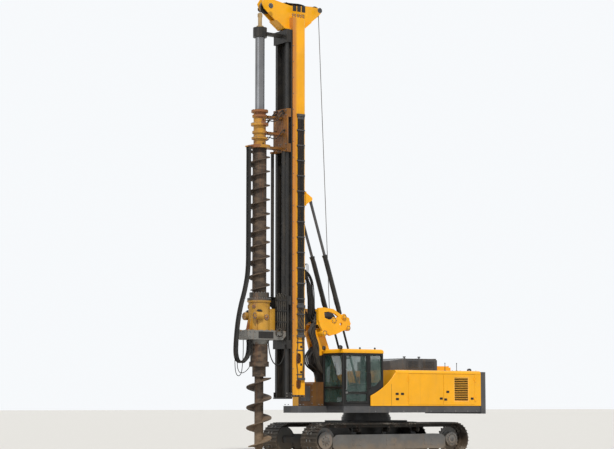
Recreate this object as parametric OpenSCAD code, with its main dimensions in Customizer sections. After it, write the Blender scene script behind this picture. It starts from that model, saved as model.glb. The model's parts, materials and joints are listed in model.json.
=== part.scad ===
// Rotary piling rig on tracks. Millimetres, +X to the mast, +Y to the cab side, +Z up.
// Places below are measured from the slewing axis on the ground; place() then centres the whole.

/* [Tracks] */
// Length of a track over its shoes
track_length = 6000; // [5400:20:6600]
// Height of a track over its grousers
track_height = 1060; // [980:10:1120]
// Width of a shoe
shoe_width = 800; // [600:10:900]
// Width over both tracks
track_gauge_over = 2900; // [2860:10:3200]
// Pitch of the shoes along the track
shoe_pitch = 216; // [190:2:240]
// Thickness of a shoe plate
shoe_plate = 22; // [14:1:30]
// Height of a grouser
grouser_height = 28; // [16:1:36]
// Height of the link chain inside the shoes
link_height = 96; // [80:1:120]
// Radius of the bottom rollers
roller_radius = 105; // [90:1:110]
// Bottom rollers on each side
roller_count = 9; // [7:1:10]
// Length of the side frame between its ends
side_frame_length = 4400; // [4000:20:4500]

/* [Deck and house] */
// Height of the deck's underside
deck_bottom = 1360; // [1320:5:1400]
// Height of the deck's side beam
deck_beam = 210; // [160:5:230]
// Width over the house sides
house_width = 2840; // [2700:10:2900]
// Height of the house above the deck
house_height = 1110; // [1050:10:1200]
// Thickness of the house panels
panel_thickness = 40; // [25:1:50]
// Rear end of the house
house_rear = -3550; // [-3600:10:-3450]
// Thickness of the counterweight
counterweight_depth = 270; // [200:10:320]
// Slats in each grille
grille_slats = 13; // [8:1:18]

/* [Cab] */
// Length of the cab
cab_length = 1530; // [1450:10:1560]
// Width of the cab
cab_width = 1030; // [960:10:1040]
// Height of the cab over its roof
cab_height = 1730; // [1650:10:1800]
// Thickness of the cab's walls and posts
cab_wall = 50; // [40:1:60]
// Thickness of the roof
cab_roof_depth = 120; // [90:5:140]

/* [Boom and yoke] */
// Thickness of each boom arm
boom_arm = 80; // [50:5:90]
// Radius of the boom's main pins
boom_pin_radius = 60; // [45:1:65]
// Thickness of each yoke plate
yoke_plate = 80; // [50:5:90]
// Distance between the outer faces of the yoke
yoke_width = 1000; // [960:10:1040]
// Radius of a winch drum barrel
drum_radius = 200; // [160:5:230]
// Radius of a stay cylinder's barrel
stay_barrel_radius = 72; // [60:1:76]

/* [Mast] */
// Height of the top of the mast box
mast_top = 13600; // [13400:20:13700]
// Height of the foot of the mast box
mast_foot = 1840; // [1820:5:1900]
// Width of the mast box
mast_width = 660; // [620:10:680]
// Depth of the mast box, front to back
mast_depth = 450; // [400:10:460]
// Wall of the mast box
mast_wall = 16; // [10:1:24]
// Depth of the guide rails in front of the box
rail_depth = 200; // [160:10:200]

/* [Drill string] */
// Distance from the slewing axis to the string
string_reach = 4060; // [4040:5:4100]
// Radius of the upper auger's core
upper_core_radius = 215; // [180:5:220]
// Radius of the upper auger's flights
upper_flight_radius = 325; // [300:5:330]
// Pitch of the upper auger
upper_pitch = 435; // [400:5:460]
// Radius of the lower auger's stem
lower_stem_radius = 135; // [120:5:150]
// Radius of the lower auger's flights
lower_flight_radius = 385; // [340:5:385]
// Pitch of the lower auger
lower_pitch = 610; // [560:5:660]
// Thickness of a flight
flight_thickness = 30; // [20:1:40]
// Radius of the steel tube above the drive
tube_radius = 145; // [120:5:150]

/* [Hidden] */
$fn = 48;
// Gap that lets two pieces lie side by side without a shared face
seat = 0.3;

deck_top = deck_bottom + deck_beam;
house_top = deck_top + house_height;
house_side = house_width / 2;
track_side = track_gauge_over / 2;
track_middle = track_side - shoe_width / 2;
track_axle = track_height / 2;
idler_x = track_length / 2 - track_axle;
link_radius = track_axle - grouser_height - shoe_plate;
rim_radius = link_radius - link_height;
hose_front = 4925;
house_end = house_rear - counterweight_depth;
origin_x = (hose_front + house_end) / 2;

// Puts a piece in the row's frame
module place() {
    translate([-origin_x, 0, 0]) children();
}

// A plate with the outline drawn in X and Z, from y0 to y1
module side_plate(y0, y1) {
    translate([0, y1, 0]) rotate([90, 0, 0]) linear_extrude(y1 - y0) children();
}

// The same plate on both sides of the middle
module side_plates(y0, y1) {
    side_plate(y0, y1) children();
    side_plate(-y1, -y0) children();
}

// A shaft along Y
module shaft(x, z, radius, y0, y1) {
    translate([x, y1, z]) rotate([90, 0, 0]) cylinder(h = y1 - y0, r = radius);
}

// A rod from a to b, both [x, z], in the plane at y
module rod(a, b, radius, y = 0) {
    run = b - a;
    translate([a[0], y, a[1]])
        rotate([0, atan2(run[0], run[1]), 0])
            cylinder(h = norm(run), r = radius);
}

// A box from its low corner to its high corner
module block(low, high) {
    translate(low) cube(high - low);
}

// A loop with two straight runs and two round ends, drawn in X and Z
module loop_outline(radius) {
    translate([-idler_x, track_axle]) circle(radius, $fn = 64);
    translate([idler_x, track_axle]) circle(radius, $fn = 64);
    translate([-idler_x, track_axle - radius]) square([2 * idler_x, 2 * radius]);
}

// A swept tube along a path of points, as rings of a set number of sides
function along(path, i) = path[min(i + 1, len(path) - 1)] - path[max(i - 1, 0)];
function unit(v) = v / norm(v);
function side_of(t) = unit(cross(t, abs(t[1]) > 0.9 ? [1, 0, 0] : [0, 1, 0]));
function tube_ring(centre, t, radius, sides) = [
    for (k = [0:sides - 1])
        let (a = 360 * k / sides)
            centre + radius * (cos(a) * side_of(t) + sin(a) * cross(unit(t), side_of(t)))
];
module swept_tube(path, radius, sides = 8) {
    rings = len(path);
    points = [for (i = [0:rings - 1]) each tube_ring(path[i], unit(along(path, i)), radius, sides)];
    walls = [
        for (i = [0:rings - 2], k = [0:sides - 1])
            each [
                [i * sides + k, (i + 1) * sides + k, (i + 1) * sides + (k + 1) % sides],
                [i * sides + k, (i + 1) * sides + (k + 1) % sides, i * sides + (k + 1) % sides]
            ]
    ];
    first = [[for (k = [0:sides - 1]) k]];
    last = [[for (k = [sides - 1:-1:0]) (rings - 1) * sides + k]];
    polyhedron(concat(points), concat(walls, first, last));
}

// Undercarriage

pad_radius = track_axle - grouser_height;
half_turn = PI * pad_radius;
loop_length = 4 * idler_x + 2 * half_turn;
shoe_total = round(loop_length / shoe_pitch);
shoe_step = loop_length / shoe_total;
frame_half = 190;
skirt = 30;
frame_in = track_middle - frame_half;
frame_out = track_middle + frame_half;
frame_low = 240;
frame_high = 700;
roller_z = track_axle - rim_radius + roller_radius;
frame_core_low = roller_z + roller_radius + 16;
carrier_radius = 72;
carrier_z = track_axle + rim_radius - carrier_radius;
carrier_places = [-1150, 0, 1150];
tooth_height = 42;
flange_height = 35;
wheel_space = tooth_height + 22;
hub_radius = 260;
drive_radius = 220;

// Point of the loop at arc length s, at a radius from the end axles
function loop_point(s, radius) =
    s < 2 * idler_x ? [-idler_x + s, track_axle - radius]
    : s < 2 * idler_x + half_turn ? loop_turn(idler_x, -90, s - 2 * idler_x, radius)
    : s < 4 * idler_x + half_turn ? [3 * idler_x + half_turn - s, track_axle + radius]
    : loop_turn(-idler_x, 90, s - 4 * idler_x - half_turn, radius);
function loop_turn(x, start, run, radius) = [
    x + radius * cos(start + 180 * run / half_turn),
    track_axle + radius * sin(start + 180 * run / half_turn)
];

// Outline of the shoes: each has two grousers, as [share of the pitch, height]
grouser_profile = [
    [0.06, 0], [0.09, 1], [0.17, 1], [0.20, 0],
    [0.56, 0], [0.59, 1], [0.67, 1], [0.70, 0]
];
function shoe_outline() = [
    for (i = [0:shoe_total - 1], g = grouser_profile)
        loop_point((i + g[0]) * shoe_step, pad_radius + g[1] * grouser_height)
];

module track(side) {
    middle = side * track_middle;
    color([0.17, 0.16, 0.15]) place() {
        side_plate(middle - shoe_width / 2, middle + shoe_width / 2) difference() {
            polygon(shoe_outline());
            loop_outline(link_radius);
        }
        for (row = [-85, 85])
            side_plate(middle + row - 25, middle + row + 25) difference() {
                loop_outline(link_radius + 1);
                loop_outline(rim_radius);
            }
    }
}
module track_left() { track(1); }
module track_right() { track(-1); }

// Side frame: a box over the rollers, skirts beside them, and arms to the end wheels
module frame_skirt(extra) {
    half = side_frame_length / 2;
    polygon([
        [-half, frame_low + 90], [-half + 90, frame_low], [half - 90, frame_low],
        [half, frame_low + 90], [half, frame_high - 110], [half - 150, frame_high],
        [-half + 150, frame_high], [-half, frame_high - 110]
    ]);
    if (extra) {
        translate([0, track_axle - 90]) square([idler_x + 95, 180]);
        translate([-idler_x, track_axle - 110]) square([idler_x, 220]);
        translate([-idler_x, track_axle]) circle(hub_radius);
    }
}
module track_frame() {
    core_half = idler_x - rim_radius - wheel_space;
    side_plate(frame_in, frame_in + skirt) frame_skirt(true);
    side_plate(frame_out - skirt, frame_out) frame_skirt(false);
    block([-core_half, frame_in + skirt - 1, frame_core_low],
          [core_half, frame_out - skirt + 1, frame_high]);
    for (x = carrier_places)
        block([x - 70, frame_in, frame_high - 1], [x + 70, frame_in + 60, carrier_z + 60]);
}
module track_frame_left() {
    color([0.36, 0.37, 0.38]) place() track_frame();
}
module track_frame_right() {
    color([0.36, 0.37, 0.38]) place() mirror([0, 1, 0]) track_frame();
}

// Front idlers: rim, outer disc and the boss that seats on the inner arm
module idlers() {
    color([0.42, 0.42, 0.42]) place() for (side = [0, 1]) mirror([0, side, 0]) {
        shaft(idler_x, track_axle, rim_radius + flange_height, track_middle - 50, track_middle + 50);
        shaft(idler_x, track_axle, rim_radius - seat, track_middle - 112, track_middle + 112);
        shaft(idler_x, track_axle, hub_radius, track_middle, frame_out - 8);
        shaft(idler_x, track_axle, 90, track_middle, frame_out + 14);
        shaft(idler_x, track_axle, 110, frame_in + skirt + seat, track_middle);
    }
}

// Rear drive wheels: toothed disc, outer drive hub and the motor case on the inner arm
sprocket_teeth = 21;
tooth_points = [[-0.32, -8], [-0.12, tooth_height], [0.12, tooth_height], [0.32, -8]];
function tooth_outline() = [
    for (i = [0:sprocket_teeth - 1], t = tooth_points)
        let (a = 360 * (i + t[0]) / sprocket_teeth)
            (rim_radius + t[1]) * [cos(a), sin(a)]
];
module sprockets() {
    color([0.40, 0.40, 0.41]) place() for (side = [0, 1]) mirror([0, side, 0]) {
        side_plate(track_middle - 28, track_middle + 28)
            translate([-idler_x, track_axle]) polygon(tooth_outline());
        shaft(-idler_x, track_axle, hub_radius + 30, track_middle - 50, track_middle + 50);
        shaft(-idler_x, track_axle, drive_radius, track_middle, frame_out - 10);
        shaft(-idler_x, track_axle, drive_radius - 90, track_middle, frame_out + 14);
        shaft(-idler_x, track_axle, drive_radius, frame_in + skirt + seat, track_middle);
    }
}

// Bottom rollers between the skirts, and carrier rollers on the frame's posts under the upper run
roller_span = 2 * (idler_x - rim_radius - 200);
module rollers() {
    color([0.25, 0.24, 0.23]) place() for (side = [0, 1]) mirror([0, side, 0]) {
        for (i = [0:roller_count - 1]) {
            x = -roller_span / 2 + i * roller_span / (roller_count - 1);
            shaft(x, roller_z, roller_radius - seat, track_middle - 128, track_middle + 128);
            shaft(x, roller_z, 45, frame_in + skirt + seat, frame_out - skirt - seat);
        }
        for (x = carrier_places) {
            shaft(x, carrier_z, carrier_radius - seat, track_middle - 118, track_middle + 118);
            shaft(x, carrier_z, 40, frame_in + 60 + seat, track_middle + 150);
        }
    }
}

// Centre of the undercarriage: two cross beams, a box and the seat of the slewing ring
ring_radius = 720;
module car_body() {
    reach = frame_in - seat;
    shoe_in = track_middle - shoe_width / 2;
    beam = [
        [-reach, 430], [reach, 430], [reach, 690], [shoe_in - 30, 950], [shoe_in - 60, 1120],
        [60 - shoe_in, 1120], [30 - shoe_in, 950], [-reach, 690]
    ];
    color([0.10, 0.10, 0.10]) place() {
        for (x = [-1180, 820])
            translate([x, 0, 0]) rotate([90, 0, 90]) linear_extrude(360) polygon(beam);
        block([-830, -600, 560], [830, 600, 1110]);
        translate([0, 0, 1100]) cylinder(h = deck_bottom - 130 - 1100, r = ring_radius + 60, $fn = 72);
    }
}
module slew_ring() {
    color([0.20, 0.20, 0.20]) place() {
        translate([0, 0, deck_bottom - 130 + seat]) cylinder(h = 60, r = ring_radius + 30, $fn = 72);
        translate([0, 0, deck_bottom - 80]) cylinder(h = 80 - seat, r = ring_radius, $fn = 72);
    }
}

// Deck

deck_side = house_side - 20;
deck_front = 1870;
nose_front = 2910;
nose_half = 450;
nose_top = deck_top;
cross_members = [-3490, -2400, -1500, 760, 1770];
module deck_outline() {
    corner = 80;
    rear = house_rear + seat;
    translate([rear, -deck_side]) square([deck_front - corner - rear, 2 * deck_side]);
    translate([rear, -deck_side + corner]) square([deck_front - rear, 2 * (deck_side - corner)]);
    for (side = [-1, 1])
        translate([deck_front - corner, side * (deck_side - corner)]) circle(corner);
}
module deck_frame() {
    color([0.30, 0.30, 0.31]) place() {
        translate([0, 0, deck_top - 30]) linear_extrude(30) deck_outline();
        for (side = [0, 1]) mirror([0, side, 0]) {
            intersection() {
                block([house_rear + seat, deck_side - 90, deck_bottom + 4],
                      [deck_front, deck_side, deck_top]);
                translate([0, 0, deck_bottom]) linear_extrude(deck_beam) deck_outline();
            }
            block([house_rear + seat, nose_half - 90, deck_bottom], [deck_front, nose_half, deck_top]);
        }
        for (x = cross_members)
            block([x, -deck_side + 50, deck_bottom + 30], [x + 80, deck_side - 50, deck_top - 20]);
        translate([0, 0, deck_bottom]) cylinder(h = deck_beam - 10, r = ring_radius + 30, $fn = 72);
    }
}
module deck_nose() {
    corner = 120;
    color([0.20, 0.20, 0.21]) place() difference() {
        union() {
            block([deck_front + seat, -nose_half, deck_bottom], [nose_front - corner, nose_half, nose_top]);
            block([deck_front + 200, -nose_half + corner, deck_bottom],
                  [nose_front, nose_half - corner, nose_top]);
            for (side = [-1, 1])
                translate([nose_front - corner, side * (nose_half - corner), deck_bottom])
                    cylinder(h = nose_top - deck_bottom, r = corner);
        }
        translate([nose_front - 260, 0, deck_bottom - 1]) rotate([0, 35, 0])
            translate([0, -nose_half - 1, -600]) cube([600, 2 * nose_half + 2, 600]);
    }
}

// Box on the nose in front of the boom
nose_box_front = 2335;
module nose_box() {
    profile = [
        [nose_box_front - 400, nose_top + seat], [nose_box_front, nose_top + seat], [nose_box_front, 2240],
        [nose_box_front - 60, 2300], [nose_box_front - 400, 2300]
    ];
    color([0.66, 0.47, 0.14]) place() side_plate(-385, 385) polygon(profile);
}

// Counterweight: a thick rear wall with rounded corners, a step and two lifting eyes
weight_low = 1320;
weight_high = house_top - 30;
lifting_eye_radius = 35;
module counterweight() {
    corner = 130;
    front = house_rear - seat;
    color([0.21, 0.21, 0.22]) place() difference() {
        union() {
            block([house_end, -house_side + corner, weight_low], [front, house_side - corner, weight_high]);
            block([house_end + corner, -house_side, weight_low], [front, house_side, weight_high]);
            for (side = [-1, 1])
                translate([house_end + corner, side * (house_side - corner), weight_low])
                    cylinder(h = weight_high - weight_low, r = corner);
            for (side = [-1, 1])
                side_plate(side * 700 - 30, side * 700 + 30) {
                    translate([house_end + 135, weight_high + 50]) circle(75);
                    translate([house_end + 60, weight_high - 10]) square([150, 60]);
                }
        }
        for (side = [-1, 1])
            shaft(house_end + 135, weight_high + 55, lifting_eye_radius, side * 700 - 31, side * 700 + 31);
        block([house_end - 1, -house_side - 1, 1960], [house_end + 14, house_side + 1, 1985]);
    }
}

// House: two sides with two doors each, a hood with rounded edges and a front bulkhead

edge_round = 90;
side_top = house_top - edge_round;
side_in = house_side - panel_thickness;
bulkhead_x = -90;
fairing_front = 880;
door_gap = 6;
door_low = deck_top + 35;
door_high = side_top - 25;
// Doors as [rear edge, front edge, x of the hinge, direction of the door from its hinge]
mid_door = [-1985, -590, -587, -1];
rear_door = [-3290, -2005, -3293, 1];
hinge_out = 13;
knuckle_radius = 12;
knuckle_length = 60;
knuckle_places = [door_low + 120, door_high - 240];

function bend(a, b, c, t) = (1 - t) * (1 - t) * a + 2 * t * (1 - t) * b + t * t * c;

module fairing_outline() {
    sweep = [
        for (i = [0:8])
            bend([fairing_front, deck_top + 300], [230, deck_top + 570], [bulkhead_x, side_top], i / 8)
    ];
    polygon(concat(
        [[house_rear, deck_top + seat], [fairing_front, deck_top + seat]], sweep, [[house_rear, side_top]]
    ));
}
module door_opening(door) {
    translate([door[0] - door_gap, door_low - door_gap])
        square([door[1] - door[0] + 2 * door_gap, door_high - door_low + 2 * door_gap]);
}

// One half of a hinge: a knuckle along Z and the leaf that joins it to its panel
module half_hinge(x, y, z, reach) {
    translate([x, y + hinge_out, z]) cylinder(h = knuckle_length, r = knuckle_radius, $fn = 24);
    block([min(x, x + reach), y - 4, z], [max(x, x + reach), y + 10, z + knuckle_length]);
}
module door_hinges(door, y, fixed) {
    for (z = knuckle_places)
        if (fixed) {
            half_hinge(door[2], y, z, -door[3] * 60);
            half_hinge(door[2], y, z + 2 * (knuckle_length + seat), -door[3] * 60);
        } else
            half_hinge(door[2], y, z + knuckle_length + seat, door[3] * 60);
}

module house_panel(front) {
    side_plate(side_in, house_side) difference() {
        intersection() {
            fairing_outline();
            translate([house_rear, deck_top]) square([front - house_rear, house_height]);
        }
        door_opening(mid_door);
        door_opening(rear_door);
    }
    door_hinges(mid_door, house_side, true);
    door_hinges(rear_door, house_side, true);
    block([house_rear, side_in - 40, deck_top + seat], [house_rear + 60, side_in + 1, side_top]);
}
module house_left() {
    color([0.93, 0.64, 0.08]) place() house_panel(fairing_front);
}
module house_right() {
    color([0.93, 0.64, 0.08]) place() mirror([0, 1, 0]) house_panel(bulkhead_x);
}

// Service doors: a panel with a rim behind it and its half of the hinges
grille_x = [-3050, -2430];
grille_z = [1700, 2480];
module door_panel(door) {
    side_plate(side_in + 12, house_side) translate([door[0], door_low])
        square([door[1] - door[0], door_high - door_low]);
    side_plate(side_in, side_in + 13) difference() {
        translate([door[0], door_low]) square([door[1] - door[0], door_high - door_low]);
        translate([door[0] + 40, door_low + 40]) square([door[1] - door[0] - 80, door_high - door_low - 80]);
    }
    door_hinges(door, house_side, false);
}
module vented_door() {
    difference() {
        door_panel(rear_door);
        block([grille_x[0], side_in - 1, grille_z[0]], [grille_x[1], house_side + 1, grille_z[1]]);
    }
}
module door_left_mid() {
    color([0.93, 0.64, 0.08]) place() door_panel(mid_door);
}
module door_left_rear() {
    color([0.93, 0.64, 0.08]) place() vented_door();
}
module door_right_mid() {
    color([0.93, 0.64, 0.08]) place() mirror([0, 1, 0]) door_panel(mid_door);
}
module door_right_rear() {
    color([0.93, 0.64, 0.08]) place() mirror([0, 1, 0]) vented_door();
}

// Grille of slanted slats in a frame, let into the rear door
module grille() {
    rim = 22;
    low = [grille_x[0] + seat, grille_z[0] + seat];
    high = [grille_x[1] - seat, grille_z[1] - seat];
    step = (high[1] - low[1] - 2 * rim) / grille_slats;
    side_plate(side_in + 6, house_side - 6) difference() {
        translate(low) square(high - low);
        translate(low + [rim, rim]) square(high - low - [2 * rim, 2 * rim]);
    }
    for (i = [0:grille_slats - 1])
        translate([low[0] + rim - 1, side_in + 10, low[1] + rim + (i + 0.2) * step])
            rotate([35, 0, 0]) cube([high[0] - low[0] - 2 * rim + 2, step * 0.55, 5]);
}
module grille_left() {
    color([0.45, 0.30, 0.14]) place() grille();
}
module grille_right() {
    color([0.45, 0.30, 0.14]) place() mirror([0, 1, 0]) grille();
}

// Hood over the house, with its front bulkhead and the raised cover at the rear
cover_top = house_top + 160;
hood_box_rear = -2210;
module hood_outline(inset) {
    radius = edge_round - inset;
    for (side = [-1, 1])
        translate([side * (house_side - edge_round), side_top]) circle(radius);
    translate([-house_side + edge_round, side_top - radius])
        square([house_width - 2 * edge_round, 2 * radius]);
}
module hood() {
    length = bulkhead_x - house_rear;
    color([0.93, 0.64, 0.08]) place() {
        translate([house_rear, 0, 0]) rotate([90, 0, 90]) linear_extrude(length) difference() {
            hood_outline(0);
            hood_outline(panel_thickness);
            translate([-house_side, side_top - 200]) square([house_width, 200 + seat]);
        }
        block([bulkhead_x - panel_thickness, -side_in + seat, deck_top + seat],
              [bulkhead_x, side_in - seat, house_top - panel_thickness + 1]);
        block([-2980, -600, house_top - 1], [hood_box_rear - seat, 600, cover_top - 40]);
        block([-2940, -560, cover_top - 41], [hood_box_rear - 40, 560, cover_top]);
    }
}

// Dark box on the hood, lower at its front, with two vent caps and a stack
module hood_box() {
    profile = [
        [hood_box_rear, house_top + seat], [-300, house_top + seat], [-300, house_top + 290],
        [-900, house_top + 375], [hood_box_rear + 60, house_top + 380], [hood_box_rear, house_top + 330]
    ];
    color([0.22, 0.22, 0.23]) place() {
        side_plate(-850, 850) polygon(profile);
        for (x = [-1750, -1150])
            translate([x, 500, house_top + 370]) {
                cylinder(h = 70, r = 22, $fn = 24);
                translate([0, 0, 50]) cylinder(h = 34, r = 46, $fn = 32);
            }
        translate([-2450, 320, cover_top + seat]) {
            cylinder(h = 230, r = 38, $fn = 32);
            cylinder(h = 20, r = 70, $fn = 32);
        }
    }
}

// Engine as one plain block on the deck
module engine_block() {
    color([0.35, 0.35, 0.36]) place()
        block([-2300, -430, deck_top + seat], [-950, 430, deck_top + 780]);
}

// Tank and tool box on the side away from the cab, stepped down to the front
module tank_box() {
    low = deck_top + seat;
    profile = [
        [60, low], [deck_front - 20, low], [deck_front - 20, low + 330], [deck_front - 60, low + 370],
        [deck_front - 420, low + 370], [deck_front - 420, low + 610], [deck_front - 460, low + 650],
        [1000, low + 650], [1000, low + 900], [940, low + 960], [120, low + 960], [60, low + 900]
    ];
    color([0.93, 0.64, 0.08]) place() {
        side_plate(-deck_side, -nose_half + 60) polygon(profile);
        for (x = [300, 700])
            translate([x, -900, low + 950]) cylinder(h = 45, r = 70, $fn = 32);
    }
}

// Cab: hollow, with its window openings cut

cab_front = 1900;
cab_rear = cab_front - cab_length;
cab_out = side_in - 10;
cab_in = cab_out - cab_width;
cab_low = deck_top + seat;
roof_low = deck_top + cab_height - cab_roof_depth;
post_x = 950;
pane = 8;
sill = deck_top + 560;
head = roof_low - 60;
foot = deck_top + 110;
door_x = [post_x + 8, cab_front - 52];
cab_hinge = [post_x + 4, cab_out + hinge_out];

module cab_shell() {
    color([0.09, 0.09, 0.10]) place() {
        difference() {
            block([cab_rear, cab_in, cab_low], [cab_front, cab_out, roof_low - seat]);
            block([cab_rear + cab_wall, cab_in + cab_wall, cab_low + 40],
                  [cab_front - cab_wall, cab_out - cab_wall, roof_low + 1]);
            block([door_x[0] - 8, cab_out - cab_wall - 1, foot - 40],
                  [door_x[1] + 8, cab_out + 1, head + 48]);
            block([cab_front - cab_wall - 1, cab_in + 70, foot], [cab_front + 1, cab_out - 70, sill - 25]);
            block([cab_front - cab_wall - 1, cab_in + 70, sill + 25], [cab_front + 1, cab_out - 70, head]);
            block([cab_rear + 90, cab_in - 1, sill], [cab_front - 120, cab_in + cab_wall + 1, head]);
            block([cab_rear - 1, cab_in + 90, sill + 150], [cab_rear + cab_wall + 1, cab_out - 90, head]);
            side_plate(cab_out - cab_wall - 1, cab_out + 1) quarter_window();
        }
        for (z = cab_knuckles) {
            half_hinge(cab_hinge[0], cab_out, z, -46);
            half_hinge(cab_hinge[0], cab_out, z + 2 * (knuckle_length + seat), -46);
        }
    }
}
cab_knuckles = [foot + 250, head - 420];
module quarter_window() {
    polygon([
        [cab_rear + 60, sill + 240], [cab_rear + 60, head - 40], [cab_rear + 100, head], [post_x - 70, head],
        [post_x - 70, sill + 30], [cab_rear + 320, sill + 30]
    ]);
}

// Panes set in the openings, halfway through the walls
module cab_glass() {
    y_mid = [cab_in + 20, cab_out - 30];
    x_mid = [cab_rear + 20, cab_front - 30];
    color([0.35, 0.48, 0.44, 0.45]) place() {
        block([x_mid[1], cab_in + 70 + seat, foot + seat],
              [x_mid[1] + pane, cab_out - 70 - seat, sill - 25 - seat]);
        block([x_mid[1], cab_in + 70 + seat, sill + 25 + seat],
              [x_mid[1] + pane, cab_out - 70 - seat, head - seat]);
        block([cab_rear + 90 + seat, y_mid[0], sill + seat],
              [cab_front - 120 - seat, y_mid[0] + pane, head - seat]);
        block([x_mid[0], cab_in + 90 + seat, sill + 150 + seat],
              [x_mid[0] + pane, cab_out - 90 - seat, head - seat]);
        side_plate(y_mid[1], y_mid[1] + pane) offset(delta = -seat) quarter_window();
    }
}

// Door with its frame, handle rail and half of the hinges
door_rim = 50;
door_z = [foot - 32, head + 40];
door_rail = sill - 180;
module cab_door() {
    color([0.09, 0.09, 0.10]) place() {
        side_plate(cab_out - cab_wall + 4, cab_out) difference() {
            translate([door_x[0], door_z[0]]) square([door_x[1] - door_x[0], door_z[1] - door_z[0]]);
            translate([door_x[0] + door_rim, door_z[0] + door_rim])
                square([door_x[1] - door_x[0] - 2 * door_rim, door_rail - door_z[0] - door_rim]);
            translate([door_x[0] + door_rim, door_rail + 40])
                square([door_x[1] - door_x[0] - 2 * door_rim, door_z[1] - door_rail - door_rim - 40]);
        }
        block([door_x[1] - 110, cab_out - 1, door_rail - 20],
              [door_x[1] - 20, cab_out + 14, door_rail + 50]);
        for (z = cab_knuckles)
            half_hinge(cab_hinge[0], cab_out, z + knuckle_length + seat, 46);
    }
}
module door_glass() {
    y = cab_out - 30;
    x = [door_x[0] + door_rim + seat, door_x[1] - door_rim - seat];
    color([0.35, 0.48, 0.44, 0.45]) place() {
        block([x[0], y, door_z[0] + door_rim + seat], [x[1], y + pane, door_rail - seat]);
        block([x[0], y, door_rail + 40 + seat], [x[1], y + pane, door_z[1] - door_rim - seat]);
    }
}

// Yellow roof cap with rounded edges
module cab_roof() {
    over = 10;
    round = 70;
    low = roof_low;
    high = low + cab_roof_depth;
    x = [cab_rear - over, cab_front + over];
    y = [cab_in - over, cab_out + over];
    color([0.93, 0.64, 0.08]) place() intersection() {
        block([x[0], y[0], low], [x[1], y[1], high]);
        side_plate(y[0], y[1]) cap_outline(x[0], x[1], low, high, round);
        translate([x[0], 0, 0]) rotate([90, 0, 90]) linear_extrude(x[1] - x[0])
            cap_outline(y[0], y[1], low, high, round);
    }
}
module cap_outline(a, b, low, high, round) {
    translate([a, low]) square([b - a, high - low - round]);
    translate([a + round, low]) square([b - a - 2 * round, high - low]);
    for (c = [a + round, b - round])
        translate([c, high - round]) circle(round, $fn = 40);
}

// Operator's chair and the consoles beside it
chair = [cab_rear + 560, (cab_in + cab_out) / 2];
cab_floor = cab_low + 40;
cushion_low = cab_floor + 440;
module cab_stool() {
    color([0.10, 0.10, 0.11]) place() {
        block([chair[0] - 250, chair[1] - 240, cushion_low],
              [chair[0] + 250, chair[1] + 240, cushion_low + 120]);
        block([chair[0] - 290, chair[1] - 220, cushion_low],
              [chair[0] - 180, chair[1] + 220, cushion_low + 760]);
    }
}
module cab_console() {
    color([0.14, 0.14, 0.15]) place() {
        block([chair[0] - 180, chair[1] - 190, cab_floor + seat],
              [chair[0] + 180, chair[1] + 190, cushion_low - seat]);
        for (side = [-1, 1])
            block([chair[0] - 120, chair[1] + side * 310 - 55, cab_floor + seat],
                  [chair[0] + 320, chair[1] + side * 310 + 55, cushion_low + 170]);
        block([cab_front - 180, cab_in + 90, cab_floor + seat], [cab_front - 80, cab_in + 190, sill + 340]);
    }
}

// Boom: a parallel pair of links that carries the yoke level

boom_foot = [1400, 1950];
boom_head_pin = [1990, 3800];
link_foot = [490, 2130];
link_head = [1080, 3980];
lift_base = [750, 1720];
lift_eye = [1620, 3020];
boom_run = boom_head_pin - boom_foot;
boom_length = norm(boom_run);
boom_lean = atan2(boom_run[1], boom_run[0]);
boom_in = 190;
boom_out = boom_in + boom_arm;
boom_split = 1280;
pin_gap = 0.3;
link_pin_radius = 45;
link_bar_radius = 52;
link_bar_y = 238;
link_eye_radius = 88;
lift_pin_radius = 42;
lift_eye_gap = 5;
lift_barrel_radius = 85;
lift_rod_radius = 50;
bracket_in = boom_out + 5;
bracket_out = bracket_in + 38;

// Lug with a round top at a pin and a foot on the deck
module deck_lug(pin, radius, base) {
    low = deck_top + 20;
    translate(pin) circle(radius);
    polygon([
        [pin[0] - base, low], [pin[0] + base, low], [pin[0] + radius, pin[1]], [pin[0] - radius, pin[1]]
    ]);
}
module boom_bracket() {
    color([0.12, 0.12, 0.13]) place() {
        block([250, -bracket_out, deck_top + seat], [1680, bracket_out, deck_top + 30]);
        side_plates(bracket_in, bracket_out) deck_lug(boom_foot, 135, 240);
        side_plates(bracket_in, bracket_out) deck_lug(link_foot, 95, 190);
        side_plates(66, 106) deck_lug(lift_base, 80, 150);
        shaft(boom_foot[0], boom_foot[1], boom_pin_radius, -bracket_out, bracket_out);
        shaft(link_foot[0], link_foot[1], link_pin_radius, -bracket_out, bracket_out);
        shaft(lift_base[0], lift_base[1], lift_pin_radius, -106, 106);
    }
}

// Boom arms below the split, with the web between them and the lift pin
module on_boom() {
    translate(boom_foot) rotate(boom_lean) children();
}
module boom() {
    lower = [[0, -215], [280, -245], [boom_split, -205], [boom_split, 205], [280, 255], [0, 215]];
    color([0.11, 0.11, 0.12]) place() {
        side_plates(boom_in, boom_out) difference() {
            on_boom() {
                circle(215);
                polygon(lower);
            }
            translate(boom_foot) circle(boom_pin_radius + pin_gap);
        }
        side_plate(-boom_in - 1, boom_in + 1) on_boom()
            polygon([[240, -215], [boom_split, -185], [boom_split, -150], [240, -180]]);
        shaft(lift_eye[0], lift_eye[1], lift_pin_radius, -boom_in - 1, boom_in + 1);
    }
}
module boom_head() {
    start = boom_split + seat;
    upper = [[start, -205], [boom_length, -165], [boom_length, 165], [start, 205]];
    color([0.93, 0.64, 0.08]) place() {
        side_plates(boom_in, boom_out) difference() {
            on_boom() {
                polygon(upper);
                translate([boom_length, 0]) circle(165);
            }
            translate(boom_head_pin) circle(boom_pin_radius + pin_gap);
        }
        side_plate(-boom_in - 1, boom_in + 1) on_boom() translate([boom_split + 260, 0]) circle(95);
    }
}

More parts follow.
